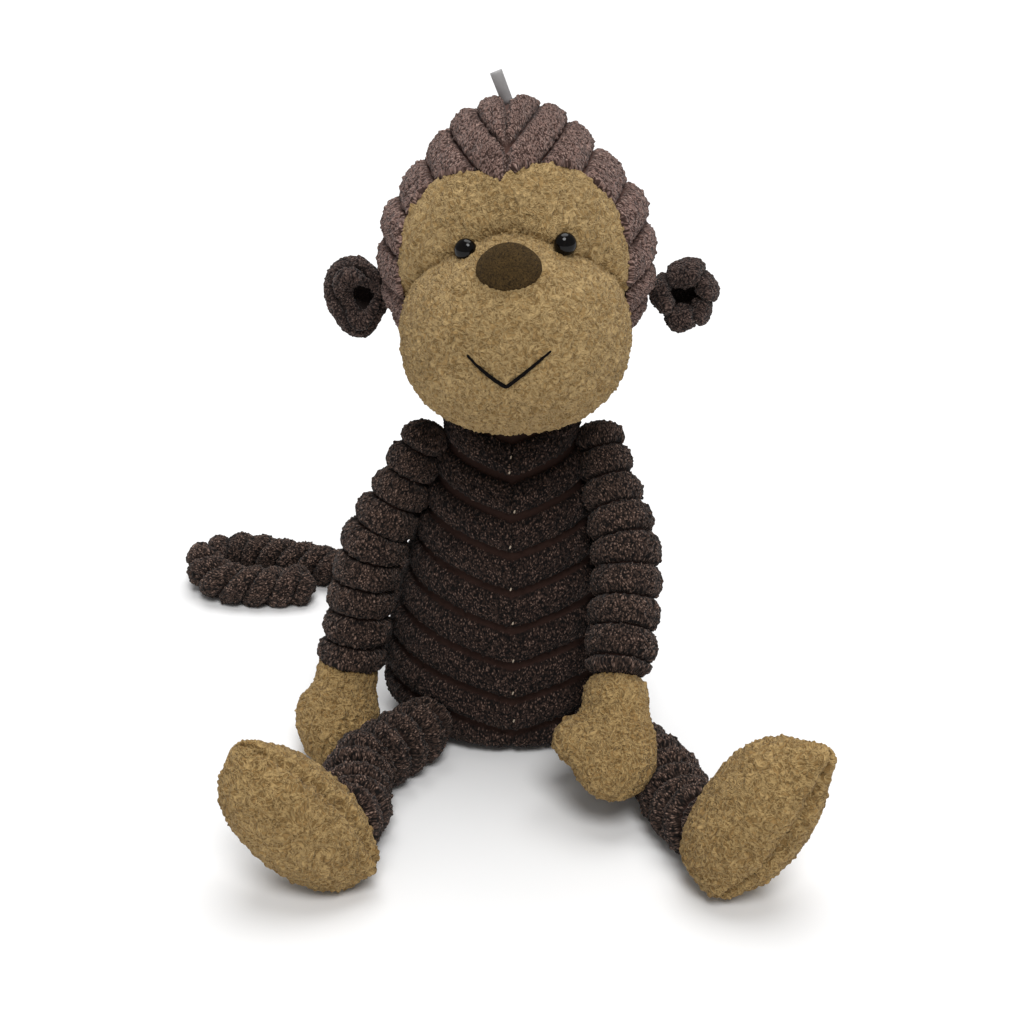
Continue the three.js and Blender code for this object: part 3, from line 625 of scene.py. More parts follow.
# ---------------------------------------------------------------- head
def face_outline(count):
    """The face opening, seen from the front, as shares of the head's half width and of the crown or jaw."""
    half, lobe, dip, chin = 0.41 * HEAD_WIDTH, 0.65 * CROWN, 0.59 * CROWN, -0.84 * JAW
    corners = [
        ((0, dip), (half * 0.12, dip + 3), (half * 0.22, lobe), (half * 0.42, lobe)),
        ((half * 0.42, lobe), (half * 0.8, lobe), (half, lobe * 0.55), (half, 0)),
        ((half, 0), (half, chin * 0.7), (half * 0.6, chin), (0, chin)),
    ]
    t = np.linspace(0, 1, 40)[:, None]
    side = np.vstack([
        (1 - t) ** 3 * np.array(a) + 3 * t * (1 - t) ** 2 * np.array(b)
        + 3 * t**2 * (1 - t) * np.array(c) + t**3 * np.array(d)
        for a, b, c, d in corners
    ])
    x, z = side[:, 0] / HEAD_RADIUS, side[:, 1] / np.where(side[:, 1] > 0, CROWN, JAW)
    reach, angle = np.hypot(x, z), np.arctan2(z, x)      # from +90 down to -90 degrees
    around = ring(count)
    # The parting lies a little to the left.
    level = np.arcsin(np.sin(around - 0.1 * np.exp(-((around - math.pi / 2) / 0.4) ** 2)))
    order = np.argsort(angle)
    return around, np.interp(level, angle[order], reach[order])


def skull_point(x, y, z, inset=0.0):
    """A point on the head's egg in its own frame, from a direction in the unit ball.
    The egg narrows to the crown."""
    high = np.where(z > 0, CROWN - inset, JAW - inset)
    wide = (HEAD_RADIUS - inset) * (1 - 0.17 * smooth((z - 0.3) / 0.5))
    return np.stack([x * wide, y * (HEAD_DEPTH / 2 - inset), z * high], -1)


HOOD_PITCH = 13.8
HOOD_START = -0.41               # share of a rib that sets where the front grooves meet
HOOD_POLE = unit(vec(0.58, 0.0, -0.81))     # the ribs are rings round this way, low at the side
HOOD_RIM = (0.9, 2.0, 3.4)       # depths of the rim's rows, rolled in under the edge of the face
CREASE = 1.6                     # half width of a sewn seam's dip


def make_hood():
    def with_rim(grid):
        return np.vstack([grid] + [grid[-1:]] * len(HOOD_RIM))

    around, reach = face_outline(560)
    edge = math.pi - np.arcsin(np.clip(reach, 0, 0.999))
    share = np.linspace(0.012, 1, 175)[:, None]
    a = share * edge[None, :]
    x, y, z = np.sin(a) * np.cos(around), np.cos(a) + 0 * around, np.sin(a) * np.sin(around)
    rows = skull_point(x, y, z, 1.6)
    rows = np.concatenate([rows, np.array([rows[-1] + unit(-rows[-1]) * depth for depth in HOOD_RIM])])
    d = unit(np.stack([np.abs(x), y, z], -1))
    angle = np.arccos(np.clip(d @ HOOD_POLE, -1, 1))
    phase = with_rim(HEAD_RADIUS * angle / HOOD_PITCH + HOOD_START)
    side_of_pole = unit(np.cross(HOOD_POLE, vec(0, 1, 0)))
    round_pole = np.arctan2(d @ side_of_pole, d @ np.cross(HOOD_POLE, side_of_pole))
    along = with_rim(round_pole * HEAD_RADIUS * np.sin(np.clip(angle, 0.1, math.pi - 0.1)))
    fade = 1 - 0.75 * np.exp(-(rows[..., 0] / CREASE) ** 2)
    fade[-len(HOOD_RIM):] *= 0.4
    # Its underside is drawn in flat over the neck.
    underneath = smooth((-0.72 - with_rim(z)) / 0.2)
    fade = fade * (1 - 0.6 * underneath)
    rows = rows * (1 - 0.035 * underneath)[..., None]
    return cord_cloth("hood", on_head(rows), phase, HOOD_PITCH, puff=3.6, strip=0.07, along=along, seed=3,
                      fade=fade, closed=(True, False))


MUZZLE_FULLNESS = 2.2            # 2 is an egg; more is squarer
MUZZLE_SKIN = MUZZLE_RADII - vec(2.6, 0.5, 0.5)
MUZZLE_MIDDLE = MUZZLE_CENTRE + vec(-0.8, 0, 0)
MUZZLE_BACK = 20.0               # the flat back, inside the head
BRIDGE_RISE, BRIDGE_WIDTH = 6.0, 15.0


def muzzle_height(x):
    """The muzzle's half height above its middle: it rises to a bridge behind the nose."""
    return MUZZLE_SKIN[2] + BRIDGE_RISE * np.exp(-(x / BRIDGE_WIDTH) ** 2)


def muzzle_share(points):
    """How far out a point of the head lies from the muzzle's middle; its skin is at 1."""
    shares = (points - MUZZLE_MIDDLE) / MUZZLE_SKIN
    above = shares[..., 2] > 0
    shares[..., 2] *= np.where(above, MUZZLE_SKIN[2] / muzzle_height(points[..., 0]), 1.0)
    return (np.abs(shares) ** MUZZLE_FULLNESS).sum(-1) ** (1 / MUZZLE_FULLNESS)


def make_muzzle():
    d = ball(210, 460)
    full = (np.abs(d) ** MUZZLE_FULLNESS).sum(-1, keepdims=True) ** (-1 / MUZZLE_FULLNESS)
    rows = d * full * MUZZLE_SKIN
    rows[..., 2] *= np.where(d[..., 2] > 0, muzzle_height(rows[..., 0]) / MUZZLE_SKIN[2], 1.0)
    rows[..., 1] = np.minimum(rows[..., 1], MUZZLE_BACK)
    rows = rows + MUZZLE_MIDDLE
    # The middle seam dips, and shade is painted into it.
    middle = np.exp(-(rows[..., 0] / 0.9) ** 2) * 0.45 * (rows[..., 1] < MUZZLE_CENTRE[1])
    return pile_cloth("muzzle", on_head(rows), seed=7, seam=middle)


def front_of_muzzle(x, z, proud=0.0):
    """A point on the muzzle's front in the head's frame."""
    rise = z - MUZZLE_CENTRE[2]
    high = np.where(rise > 0, muzzle_height(x), MUZZLE_SKIN[2])
    shares = np.abs([(x - MUZZLE_MIDDLE[0]) / MUZZLE_SKIN[0], rise / high])
    spare = 1 - (shares ** MUZZLE_FULLNESS).sum(0)
    y = MUZZLE_CENTRE[1] - MUZZLE_SKIN[1] * np.clip(spare, 0, 1) ** (1 / MUZZLE_FULLNESS)
    return np.stack([x, y - proud, z], -1)


def make_face():
    around, reach = face_outline(420)
    share = np.linspace(0.02, 1, 88)[:, None]
    s = share * (reach * 1.015)[None, :]
    x, z = s * np.cos(around), s * np.sin(around)
    y = -np.sqrt(np.clip(1 - x**2 - z**2, 0, 1))
    rows = skull_point(x, y, z, 1.2)
    rows[-2:] += unit(-rows[-2:]) * np.array([0.8, 2.4])[:, None, None]
    # The face dips in a crease along the muzzle's edge, and shade is painted into it.
    crease = np.exp(-((muzzle_share(rows) - 1.02) / 0.055) ** 2) * 1.5
    return pile_cloth("face", on_head(rows), seed=5, seam=crease, closed=(True, False))


NOSE_HALF_WIDTH, NOSE_ABOVE, NOSE_BELOW, NOSE_DEPTH = 11.3, 9.0, 9.6, 7.6
NOSE_X, NOSE_Z = -0.2, MUZZLE_CENTRE[2] + 0.8 * MUZZLE_RADII[2]


def make_nose():
    """A small suede cushion, wide and level above, with a seam's notch below."""
    around = ring(150)
    a = np.linspace(0.03, math.pi - 0.03, 70)[:, None]
    c, s = np.cos(around), np.sin(around)
    wide = NOSE_HALF_WIDTH * (1 - 0.14 * np.clip(-s, 0, 1) ** 2 - 0.10 * np.clip(s, 0, 1) ** 2)
    high = np.where(s > 0, NOSE_ABOVE, NOSE_BELOW * (1 - 0.10 * np.exp(-(c / 0.16) ** 2)))
    x = np.sin(a) ** 0.85 * c * wide
    z = np.sin(a) ** 0.85 * s * high
    y = -np.cos(a) * NOSE_DEPTH + 0 * around
    rows = front_of_muzzle(NOSE_X, NOSE_Z, -1.5) + np.stack([x, y, z], -1)
    return pile_cloth("nose_pad", on_head(rows), nap=0.16, tuft=0.8, seed=11, lay=(1, 1, 1))


EYE_RADIUS, EYE_SPACING, EYE_HEIGHT = 4.1, 34.8, 12.6
EYE_SHIFT = 1.9                  # both eyes sit a little to the viewer's right
EYE_BULGE = 0.74                 # the bead's depth as a share of its radius


def make_eye(side, sense):
    """A glossy bead on the face cloth, a little deeper than a half ball."""
    radii = vec(HEAD_RADIUS, HEAD_DEPTH / 2, CROWN)
    x = sense * EYE_SPACING / 2 + EYE_SHIFT
    y = -radii[1] * math.sqrt(1 - (x / radii[0]) ** 2 - (EYE_HEIGHT / radii[2]) ** 2)
    surface = vec(x, y, EYE_HEIGHT)
    out = unit(surface / radii / radii)
    across = unit(np.cross(out, vec(0, 0, 1)))
    up = np.cross(across, out)
    around = ring(64)
    rim = np.cos(around)[:, None] * across + np.sin(around)[:, None] * up
    rows = np.array([
        surface + out * (0.1 + EYE_RADIUS * EYE_BULGE * math.cos(a)) + rim * EYE_RADIUS * math.sin(a)
        for a in np.linspace(0.05, math.radians(118), 30)
    ])
    return skin(f"eye_bead_{side}", on_head(rows))


MOUTH_WIDTH, MOUTH_DEPTH = 29.0, 11.8
MOUTH_X, MOUTH_Z = -1.4, MUZZLE_CENTRE[2] - 10.6
MOUTH_STITCHES, MOUTH_STEPS = 12, 240


def make_mouth():
    """A smile of back stitches: each starts a little under the one before."""
    t = np.linspace(-1, 1, MOUTH_STEPS)
    x = MOUTH_X + (t - 0.12 * (1 - t**2)) * MOUTH_WIDTH / 2
    z = MOUTH_Z + MOUTH_DEPTH * np.abs(t) ** 1.12
    line = front_of_muzzle(x, z, 0.6)
    stitches = []
    long = MOUTH_STEPS // MOUTH_STITCHES
    for k in range(MOUTH_STITCHES):
        part = line[max(k * long - 3, 0):(k + 1) * long + 3]
        bulge = np.sin(np.linspace(0, math.pi, len(part))) * 0.45
        part = part + np.outer(bulge, vec(0, -1, 0))
        girth = 0.72 - 0.34 * abs((k + 0.5) / MOUTH_STITCHES * 2 - 1) ** 2
        stitches.append(tube(f"stitch_{k}", on_head(part), girth, flat=0.8))
    return joined("mouth_thread", stitches)


RIBBON_WIDTH, RIBBON_THICKNESS = 4.4, 0.6
LOOP_RISE, LOOP_SUNK, LOOP_OPEN, LOOP_TILT = 12.6, 3.6, 2.6, -18


def make_loop():
    """The ribbon's two ends are sewn into the crown, and it stands folded on itself."""
    t = np.linspace(0, 1, 90)
    open_y = LOOP_OPEN * np.sin(math.pi * t) * np.sign(0.5 - t) * np.abs(np.cos(math.pi * t)) ** 0.25
    rise = LOOP_RISE * np.sin(math.pi * t) ** 0.55
    tilt = turn_about("y", LOOP_TILT)
    out = tilt @ vec(1, 0, 0)
    line = np.stack([0 * t, -open_y, rise - LOOP_SUNK], 1) @ tilt.T + vec(-1, 3, CROWN)
    faces = unit(np.cross(unit(np.gradient(line, axis=0)), out))
    wide = vec(-1, -0.97, 0.97, 1, 0.97, -0.97) * RIBBON_WIDTH / 2
    thick = vec(0, 1, 1, 0, -1, -1) * RIBBON_THICKNESS / 2
    rows = line[:, None] + wide[None, :, None] * out + thick[None, :, None] * faces[:, None]
    return skin("ribbon_loop", on_head(rows))


EAR_ROOT_Y, EAR_ROOT_Z = 3.0, -0.28 * JAW
EAR_ROOT_X = HEAD_RADIUS * math.sqrt(
    1 - (EAR_ROOT_Y / (HEAD_DEPTH / 2)) ** 2 - (EAR_ROOT_Z / JAW) ** 2) + 3.5 + 2 * GAP
# From the hollow's floor over the rim to the back: share of the ear's radius, and of its half depth.
EAR_OUTLINE = (
    (0.0, 0.40), (0.22, 0.32), (0.34, -0.05), (0.48, -0.65), (0.68, -1.0), (0.88, -0.8),
    (1.0, -0.2), (0.97, 0.4), (0.72, 0.85), (0.35, 0.95), (0.0, 0.9),
)
EAR_HALF_WIDTH, EAR_HALF_DEPTH = 11.6, 7.2
EAR_HALF_HEIGHT = {"left": 13.6, "right": 12.6}


def make_ear(side, sense):
    """A cupped ear: a folded rim of puffs round a hollow with painted shade, narrowing to its root."""
    m, n = 170, 120
    turn = ring(m)
    t = np.linspace(0.01, 0.99, n)
    reach, depth, _ = soft_line([(*place, 0.0) for place in EAR_OUTLINE], n)[0].T
    puffs = 5 if sense > 0 else 3
    uneven = turn + 0.35 * np.sin(turn + 0.6)
    wave = 1 + 0.05 * np.sin(puffs * uneven + 1.0) + 0.03 * np.sin(3 * turn)
    x = reach[:, None] * np.cos(turn) * EAR_HALF_WIDTH * wave
    z = reach[:, None] * np.sin(turn) * EAR_HALF_HEIGHT[side] * wave
    hollow = np.clip(1 - reach / 0.75, 0, 1)[:, None] * (depth[:, None] < 0.6)
    if sense < 0:      # the hollow of the left ear opens towards the head
        x = x + 5.0 * hollow + 1.5
        depth = depth[:, None] * (1 - 0.55 * np.clip(np.cos(turn), 0, 1))
    else:              # the right ear's hollow is a level slit
        z = z * (1 - 0.45 * hollow)
        x = x * (1 + 0.35 * hollow)
        depth = depth[:, None] + 0 * turn
    y = depth * EAR_HALF_DEPTH * (1 + 0.14 * np.sin(puffs * turn + 2.0)) - 0.5
    rows = np.stack([x, y, z], -1) + vec(sense * 9.5, 0, 0)
    # The side next to the head narrows into the root.
    near = np.clip((6.0 - sense * rows[..., 0]) / 11.0, 0, 1) ** 1.2
    rows[..., 2] *= 1 - 0.45 * near
    rows += vec(sense * EAR_ROOT_X - (1.3 if sense > 0 else -0.6), EAR_ROOT_Y, EAR_ROOT_Z - sense * 3.0)
    if sense < 0:
        phase = 2.6 * t[:, None] + 0.16 * np.sin(2 * turn + 0.7) - 0.1
    else:
        phase = puffs * uneven / (2 * math.pi) + 0.22 * t[:, None]
    # The cup's floor is flattened: the bare cloth shows there, and shade is painted over its low loops.
    floor_of_cup = (reach < 0.42) & (depth[:, m // 2] < 0.6)
    fade = np.where(floor_of_cup, 0.12, 1.0)[:, None]
    return cord_cloth(f"shaded_ear_plush_{side}", on_head(rows), phase, pitch=9.0, puff=2.6, strip=0.04, along=None,
                      nap=0.6, tuft=1.4, seed=13 + sense, fade=fade)


finished(make_hood(), lit_hood_plush, "head", ["hood_left", "hood_right", "head_stuffing"])
finished(make_face(), tan_plush, "head", ["face_panel"])
finished(make_muzzle(), tan_plush, "head", ["muzzle_left", "muzzle_right"])
finished(make_nose(), nose_suede, "head", ["nose"])
finished(make_mouth(), black_thread, "head", replaced=["mouth_stitch"])
finished(make_loop(), grey_ribbon, "head", replaced=["hang_loop"])
for side, sense in (("left", -1), ("right", 1)):
    finished(make_eye(side, sense), eye_gloss, "head", replaced=[f"eye_{side}"])
    finished(make_ear(side, sense), shaded_ear_plush, f"ear_{side}", [f"ear_{side}"])
    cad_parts[f"eye_washer_{side}"].data.materials.clear()
    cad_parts[f"eye_washer_{side}"].data.materials.append(washer_plastic)


# ---------------------------------------------------------------- torso
TORSO_PITCH = 15.0
TORSO_START = 0.25               # share of a rib below the lowest groove
TORSO_SWELL = 0.9                # the cloth's fullness over the sections
CHEVRON_RISE, CHEVRON_BEND = 0.36, 0.0024     # how ribs climb from a seam, and how that eases off
TORSO_TOP_SOFTENED, TORSO_TOP_LOWERED = 9.0, 2.2
torso_profile = fine_line(TORSO_SECTIONS)


def torso_line():
    """The torso's half width, half depth and height from the seat up, tucked in under the belly."""
    fine = torso_profile[torso_profile[:, 2] > 5.0]
    seat = [(43.0 * s, 33.0 * s, 0.0) for s in (0.02, 0.3, 0.6, 0.80)]
    tuck = [(41.5, 31.0, 0.6), (45.0, 34.0, 2.6)]
    whole = np.vstack([seat, tuck, fine, [(2.0, 1.6, TORSO_HEIGHT + 1.5)]])
    run = np.concatenate([[0], np.cumsum(np.hypot(np.diff(whole[:, 1]), np.diff(whole[:, 2])))])
    at = np.linspace(0, run[-1], 280)
    return np.stack([np.interp(at, run, whole[:, k]) for k in range(3)], 1), at


def make_torso():
    line, run = torso_line()
    around = ring(352)
    c, s = np.cos(around), np.sin(around)
    half_x = line[:, 0:1] + TORSO_SWELL
    half_y = line[:, 1:2] + TORSO_SWELL
    centre = TORSO_LEAN * line[:, 2:3] / TORSO_HEIGHT
    z = line[:, 2:3] + 0 * c
    rows = np.stack([half_x * c, centre + half_y * s, z], -1)
    # Distance round from the nearer of the front and back seams.
    off_seam = np.abs(np.arcsin(np.clip(c, -1, 1)))
    w = off_seam[None, :] * (half_x + half_y) / 2
    rise = CHEVRON_RISE * w - CHEVRON_BEND * w**2
    phase = (run[:, None] - rise) / TORSO_PITCH + TORSO_START
    fade = smooth((z - 1.5) / 5.0) * (1 - 0.55 * np.exp(-(rows[..., 0] / 1.1) ** 2))
    # The top stays low and smooth where the head rocks over it.
    under_head = smooth((z - TORSO_HEIGHT + TORSO_TOP_SOFTENED) / 7.0)
    fade = fade * (1 - 0.7 * under_head)
    rows[..., 2] = np.maximum(rows[..., 2] - TORSO_TOP_LOWERED * under_head, 0.9)
    return cord_cloth("torso_plush", rows, phase, TORSO_PITCH, puff=3.2, strip=0.22, along=w * np.sign(c),
                      seed=17, fade=fade)


torso_nodes = ["torso_front_left", "torso_front_right", "torso_back_left", "torso_back_right",
               "seat_panel", "bean_pouch", "torso_stuffing"]
torso_piece = finished(make_torso(), shaded_body_plush, "torso", torso_nodes)


def make_seam_thread(cloth, heights):
    """The thread of the front seam, which shows as a short pale stitch in each groove."""
    places = np.empty(len(cloth.data.vertices) * 3)
    cloth.data.vertices.foreach_get("co", places)
    places = places.reshape(-1, 3) / MM
    stitches = []
    for k, height in enumerate(heights):
        close = places[(np.abs(places[:, 0]) < 1.0) & (np.abs(places[:, 2] - height) < 1.5)]
        front = close[np.argmin(close[:, 1])]
        step = np.linspace(-0.7, 0.7, 9)
        line = front + np.stack([0.3 * step, -0.25 - 0.1 * step**2, step], 1)
        stitches.append(tube(f"seam_stitch_{k}", line, 0.34, sides=8))
    return joined("seam_thread", stitches)


SEAM_STITCHES = (16.5, 28.8, 42.2, 57.5, 72.4, 88.6, 101.3, 116.1, 124.0)     # their heights
finished(make_seam_thread(torso_piece, SEAM_STITCHES), pale_thread, "torso")


NECK_RADIUS, NECK_PITCH = 11.5, 11.0


def make_neck():
    rows = NECK_PIVOT + NECK_RADIUS * ball(70, 120, 0.05) * vec(1, 1, -1)
    phase = (rows[..., 2] - NECK_PIVOT[2]) / NECK_PITCH
    along = ring(120) * NECK_RADIUS
    return cord_cloth("neck_plush", rows, phase, NECK_PITCH, puff=1.6, strip=0.1, along=along, seed=19)


finished(make_neck(), shaded_body_plush, "neck", ["neck_stuffing"])


# ---------------------------------------------------------------- limbs
def torso_at(height):
    """The torso's half width, half depth and middle at a height."""
    x, y = (float(np.interp(height, torso_profile[:, 2], torso_profile[:, k])) for k in (0, 1))
    return x, y, TORSO_LEAN * height / TORSO_HEIGHT


def clear_of_torso(place, radius):
    """A place moved straight out from the torso's axis until something round clears the torso."""
    x, y, middle = torso_at(place[2])
    share = math.hypot(place[0] / (x + radius), (place[1] - middle) / (y + radius))
    if share >= 1:
        return place
    return vec(place[0] / share, middle + (place[1] - middle) / share, place[2])


def limb_line(start, target, length, bow_side, root, cleared=lambda place: place):
    """A line from start towards target that takes up its spare length by bowing to one side.
    Gives its points, its end, and the way it points there."""
    chord = target - start
    distance = min(np.linalg.norm(chord), length)
    direction = unit(chord)
    end = cleared(start + direction * distance)
    bow = math.sqrt(3 * distance * max(length - distance, 0) / 8)
    middle = cleared((start + end) / 2 + bow_side * bow)
    quarter = cleared((start + middle) / 2)
    points = [start - direction * root, start, quarter, middle, end]
    line, _ = soft_line(points, 200)
    return points, end, unit(line[-1] - line[-2])


LINE_STEPS = 500
ROW_SPACING, POINT_SPACING = 0.55, 0.6     # along a limb and round it


def limb_rows(points, radius_at, start_cap, end_cap):
    """Rings along a limb with a round cap at each end, and how far along and round each point lies."""
    line, length = soft_line(points, LINE_STEPS)
    first, last = start_cap, length - end_cap
    cap = np.linspace(0.06, math.pi / 2, 24)
    stations = [(first - start_cap * math.cos(a), math.sin(a)) for a in cap[:-1]]
    body = np.linspace(first, last, int((last - first) / ROW_SPACING))
    stations += [(s, 1.0) for s in body]
    stations += [(last + end_cap * math.cos(a), math.sin(a)) for a in cap[::-1][1:]]
    at, share = np.array(stations).T
    u = np.clip(at / length, 0, 1) * (LINE_STEPS - 1)
    steps = np.arange(LINE_STEPS)
    centre, tangent = (np.stack([np.interp(u, steps, part) for part in whole.T], 1)
                       for whole in (line, np.gradient(line, axis=0)))
    tangent = unit(tangent)
    span = unit(line[-1] - line[0])
    upright = unit(vec(1, 0.3, 0)) if abs(span[2]) > 0.6 else vec(0, 0, 1)
    across = unit(np.cross(upright, tangent))
    radius = radius_at(at) * share
    sides = int(2 * math.pi * radius.max() / POINT_SPACING)
    return hoops(centre, across, np.cross(tangent, across), radius, sides), at, ring(sides)


def widening(root, thickness, taper):
    """The radius along a tube that starts at its root's and grows to half its thickness."""
    return lambda s: root + (thickness / 2 - root) * smooth((s - root) / taper)


CLOTH_INSET = 0.2                # of the ribs' middle line from a limb's full size


def make_limb(name, points, thickness, root, taper, pitch, puff, strip, offset=0.0, twist=0.0, tuft=1.5,
              seed=1, settle=0.0, end_cap=TUBE_END):
    """A ribbed tube along points. It starts at its root size and widens over the taper, and lies
    no lower than it settles."""
    size = widening(root, thickness, taper)
    rows, at, turn = limb_rows(points, lambda s: size(s) - CLOTH_INSET, root, end_cap)
    # Each rib is a slightly different puff.
    phase = at[:, None] / pitch + offset + twist * turn / (2 * math.pi)
    phase = phase + 0.05 * np.sin(at / 9.0 + seed)[:, None] * np.sin(turn + seed)
    uneven = 1 + 0.10 * np.sin(np.floor(phase) * 2.7 + seed) * np.cos(turn - seed)
    rows[..., 2] = np.maximum(rows[..., 2], settle)
    along = turn * thickness / 2
    return cord_cloth(name, rows, phase, pitch, puff * uneven, strip, along, tuft=tuft, seed=seed)


def turned_to(long, facing):
    """The turn of a hand or foot whose own +Z lies along its length and whose front faces a way."""
    z = unit(long)
    y = unit(-facing + z * (facing @ z))
    return np.stack([np.cross(y, z), y, z], 1)


def rounded_union(directions, centre, balls, softness=1.6):
    """The outermost place along each direction where a soft union of ellipsoids ends."""
    reach_at = np.linspace(4, 46, 85)
    field = np.empty((len(reach_at), len(directions)), np.float32)
    for k, r in enumerate(reach_at):
        p = centre + directions * r
        total = 0
        for middle, radii in balls:
            q = (p - middle) / radii
            away = (np.linalg.norm(q, axis=1) - 1) * min(radii)
            total = total + np.exp(-away / softness)
        field[k] = -np.log(np.maximum(total, 1e-12)) * softness
    inside = field < 0
    last = len(reach_at) - 1 - np.argmax(inside[::-1], axis=0)
    last = np.clip(last, 0, len(reach_at) - 2)
    col = np.arange(len(directions))
    f0, f1 = field[last, col], field[last + 1, col]
    share = f0 / np.minimum(f0 - f1, -1e-6)
    return reach_at[last] + np.clip(share, 0, 1) * (reach_at[1] - reach_at[0])


# Where each wrist is aimed, the way from it up the arm, and the way the hand's upper side faces.
WRIST_PLACES = {
    "left": (vec(-64.5, -13, 38), vec(0.14, 0.7, 0.62), vec(0.15, -1, 0.6)),
    "right": (vec(41, -53, 52.5), vec(0.1, 0.75, 0.66), vec(-0.1, -1, 0.62)),
}
# Where each ankle is aimed, the foot's middle from it, the way to its toe, and the way its sole faces.
ANKLE_PLACES = {
    "left": (vec(-59, -93, 12.8), vec(-17, -17, 16.6), vec(-0.68, 0.06, 0.73), vec(0.05, -1, 0.1)),
    "right": (vec(66, -94, 12.8), vec(17, -18, 19), vec(0.53, 0.1, 0.83), vec(-0.3, -1, 0.1)),
}


def make_hand(side, wrist, turn):
    """A mitten with a thumb, sewn from two halves."""
    palm = vec(0, 0, -HAND_LENGTH / 2)
    thumb_reach = 1.0 if side == "right" else 0.55
    thumb = vec(-HAND_WIDTH * 0.42 * thumb_reach, 0, -HAND_LENGTH * 0.52)
    balls = [
        (palm + vec(0, 0, -1.5), vec(HAND_WIDTH / 2 - 0.8, HAND_THICKNESS / 2, HAND_LENGTH / 2 - 1.5)),
        (palm + vec(1.0, 0, -7.0), vec(HAND_WIDTH / 2 - 2.4, HAND_THICKNESS / 2, 13.5)),
        (thumb, vec(THUMB_LENGTH / 2, THUMB_WIDTH * 0.42, THUMB_WIDTH / 2)),
        (vec(-0.5, 0, -4.0), vec(12.2, 10.0, 11.0)),
    ]
    d = ball(120, 200)
    r = rounded_union(d.reshape(-1, 3), palm, balls).reshape(d.shape[:2])
    rows = palm + d * (r - 0.6)[..., None]
    # The side seam pulls the cloth in a little where the two halves meet, and shade is painted into it.
    seam = np.exp(-(rows[..., 1] / 0.9) ** 2) * 0.5
    rows = rows @ turn.T + wrist
    rows[..., 2] = np.maximum(rows[..., 2], 0.6)
    return pile_cloth(f"hand_plush_{side}", rows, seed=23 + len(side), seam=seam)


SEAM_TURN = {"left": math.radians(-25), "right": math.radians(-52)}     # of the foot's side seam
FOOT_TIPS = {"left": (4.0, 3.5), "right": (3.5, 6.5)}     # how far heel and toe are drawn out


def make_foot(side, ankle, middle, turn):
    """A pillow in two halves, blunt at the heel and drawn to a soft point where the seam ends at the toe."""
    seam_turn = SEAM_TURN[side]
    s = -np.cos(np.linspace(0.03, math.pi - 0.03, 150))[:, None]
    around = ring(230)
    blunt = np.clip(1 - np.abs(s) ** 2.35, 0, 1) ** 0.56
    off = np.arcsin(np.abs(np.sin(around - seam_turn)))
    pinch = np.exp(-(off / 0.13) ** 2)
    girth = blunt * (1 + 0.035 * np.cos(2 * (around - seam_turn)))
    x = (FOOT_WIDTH / 2 - 1.6) * girth * np.cos(around)
    y = (FOOT_THICKNESS / 2 - 0.6) * girth * np.sin(around)
    # Both ends lean towards the seam that ends there.
    seam_way = vec(math.cos(seam_turn), math.sin(seam_turn), 0)
    lean = np.sign(s) * np.abs(s) ** 5 * 3.0
    x = x + lean * seam_way[0]
    y = y + lean * seam_way[1]
    z = s * (FOOT_LENGTH / 2 - 2.0) + 0 * around
    rows = np.stack([x, y, z], -1)
    rows = rows * (1 - 0.035 * (pinch * (0.3 + 0.7 * blunt)))[..., None]
    # The cloth is drawn out to a corner at each end of the seam.
    for end, drawn in zip((-1, 1), FOOT_TIPS[side]):
        corner = unit(seam_way * 0.42 + vec(0, 0, end))
        close = np.exp(-(1 - unit(rows * vec(1.5, 1.5, 1)) @ corner) / 0.035)
        rows = rows + corner * (drawn * close)[..., None]
    # Soft dimples where the cloth gathers into the seam.
    gather = np.sin(z * 1.15 + 0.6 * np.sin(z * 0.4)) * np.exp(-(off / 0.4) ** 2) * 0.35
    rows = rows + unit(rows * vec(1, 1, 0.2)) * gather[..., None]
    # The side next to the leg is drawn out to meet it.
    to_leg = unit(-middle)
    rows = rows + to_leg * (smooth((unit(rows) @ to_leg - 0.80) / 0.2) * 5.0)[..., None]
    rows = (rows + middle) @ turn.T + ankle
    rows[..., 2] = np.maximum(rows[..., 2], 0.7)
    # The side seam dips, with shade painted along it.
    return pile_cloth(f"foot_plush_{side}", rows, seed=29 + len(side), seam=pinch * 1.3)


CUFF = {"left": 7.5, "right": 2.5}     # how far the sleeve's cloth reaches over the hand's root
SHOULDER_HEIGHT = 0.835 * TORSO_HEIGHT
HIP_SPREAD = 0.63                # of the seat's half width
LEG_SLIMMING = 1.6               # of the cloth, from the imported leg's thickness
LEG_HIDDEN = 7.0                 # how far the leg's end goes on inside the foot
REST_GAP = 0.3                   # under the legs and the tail


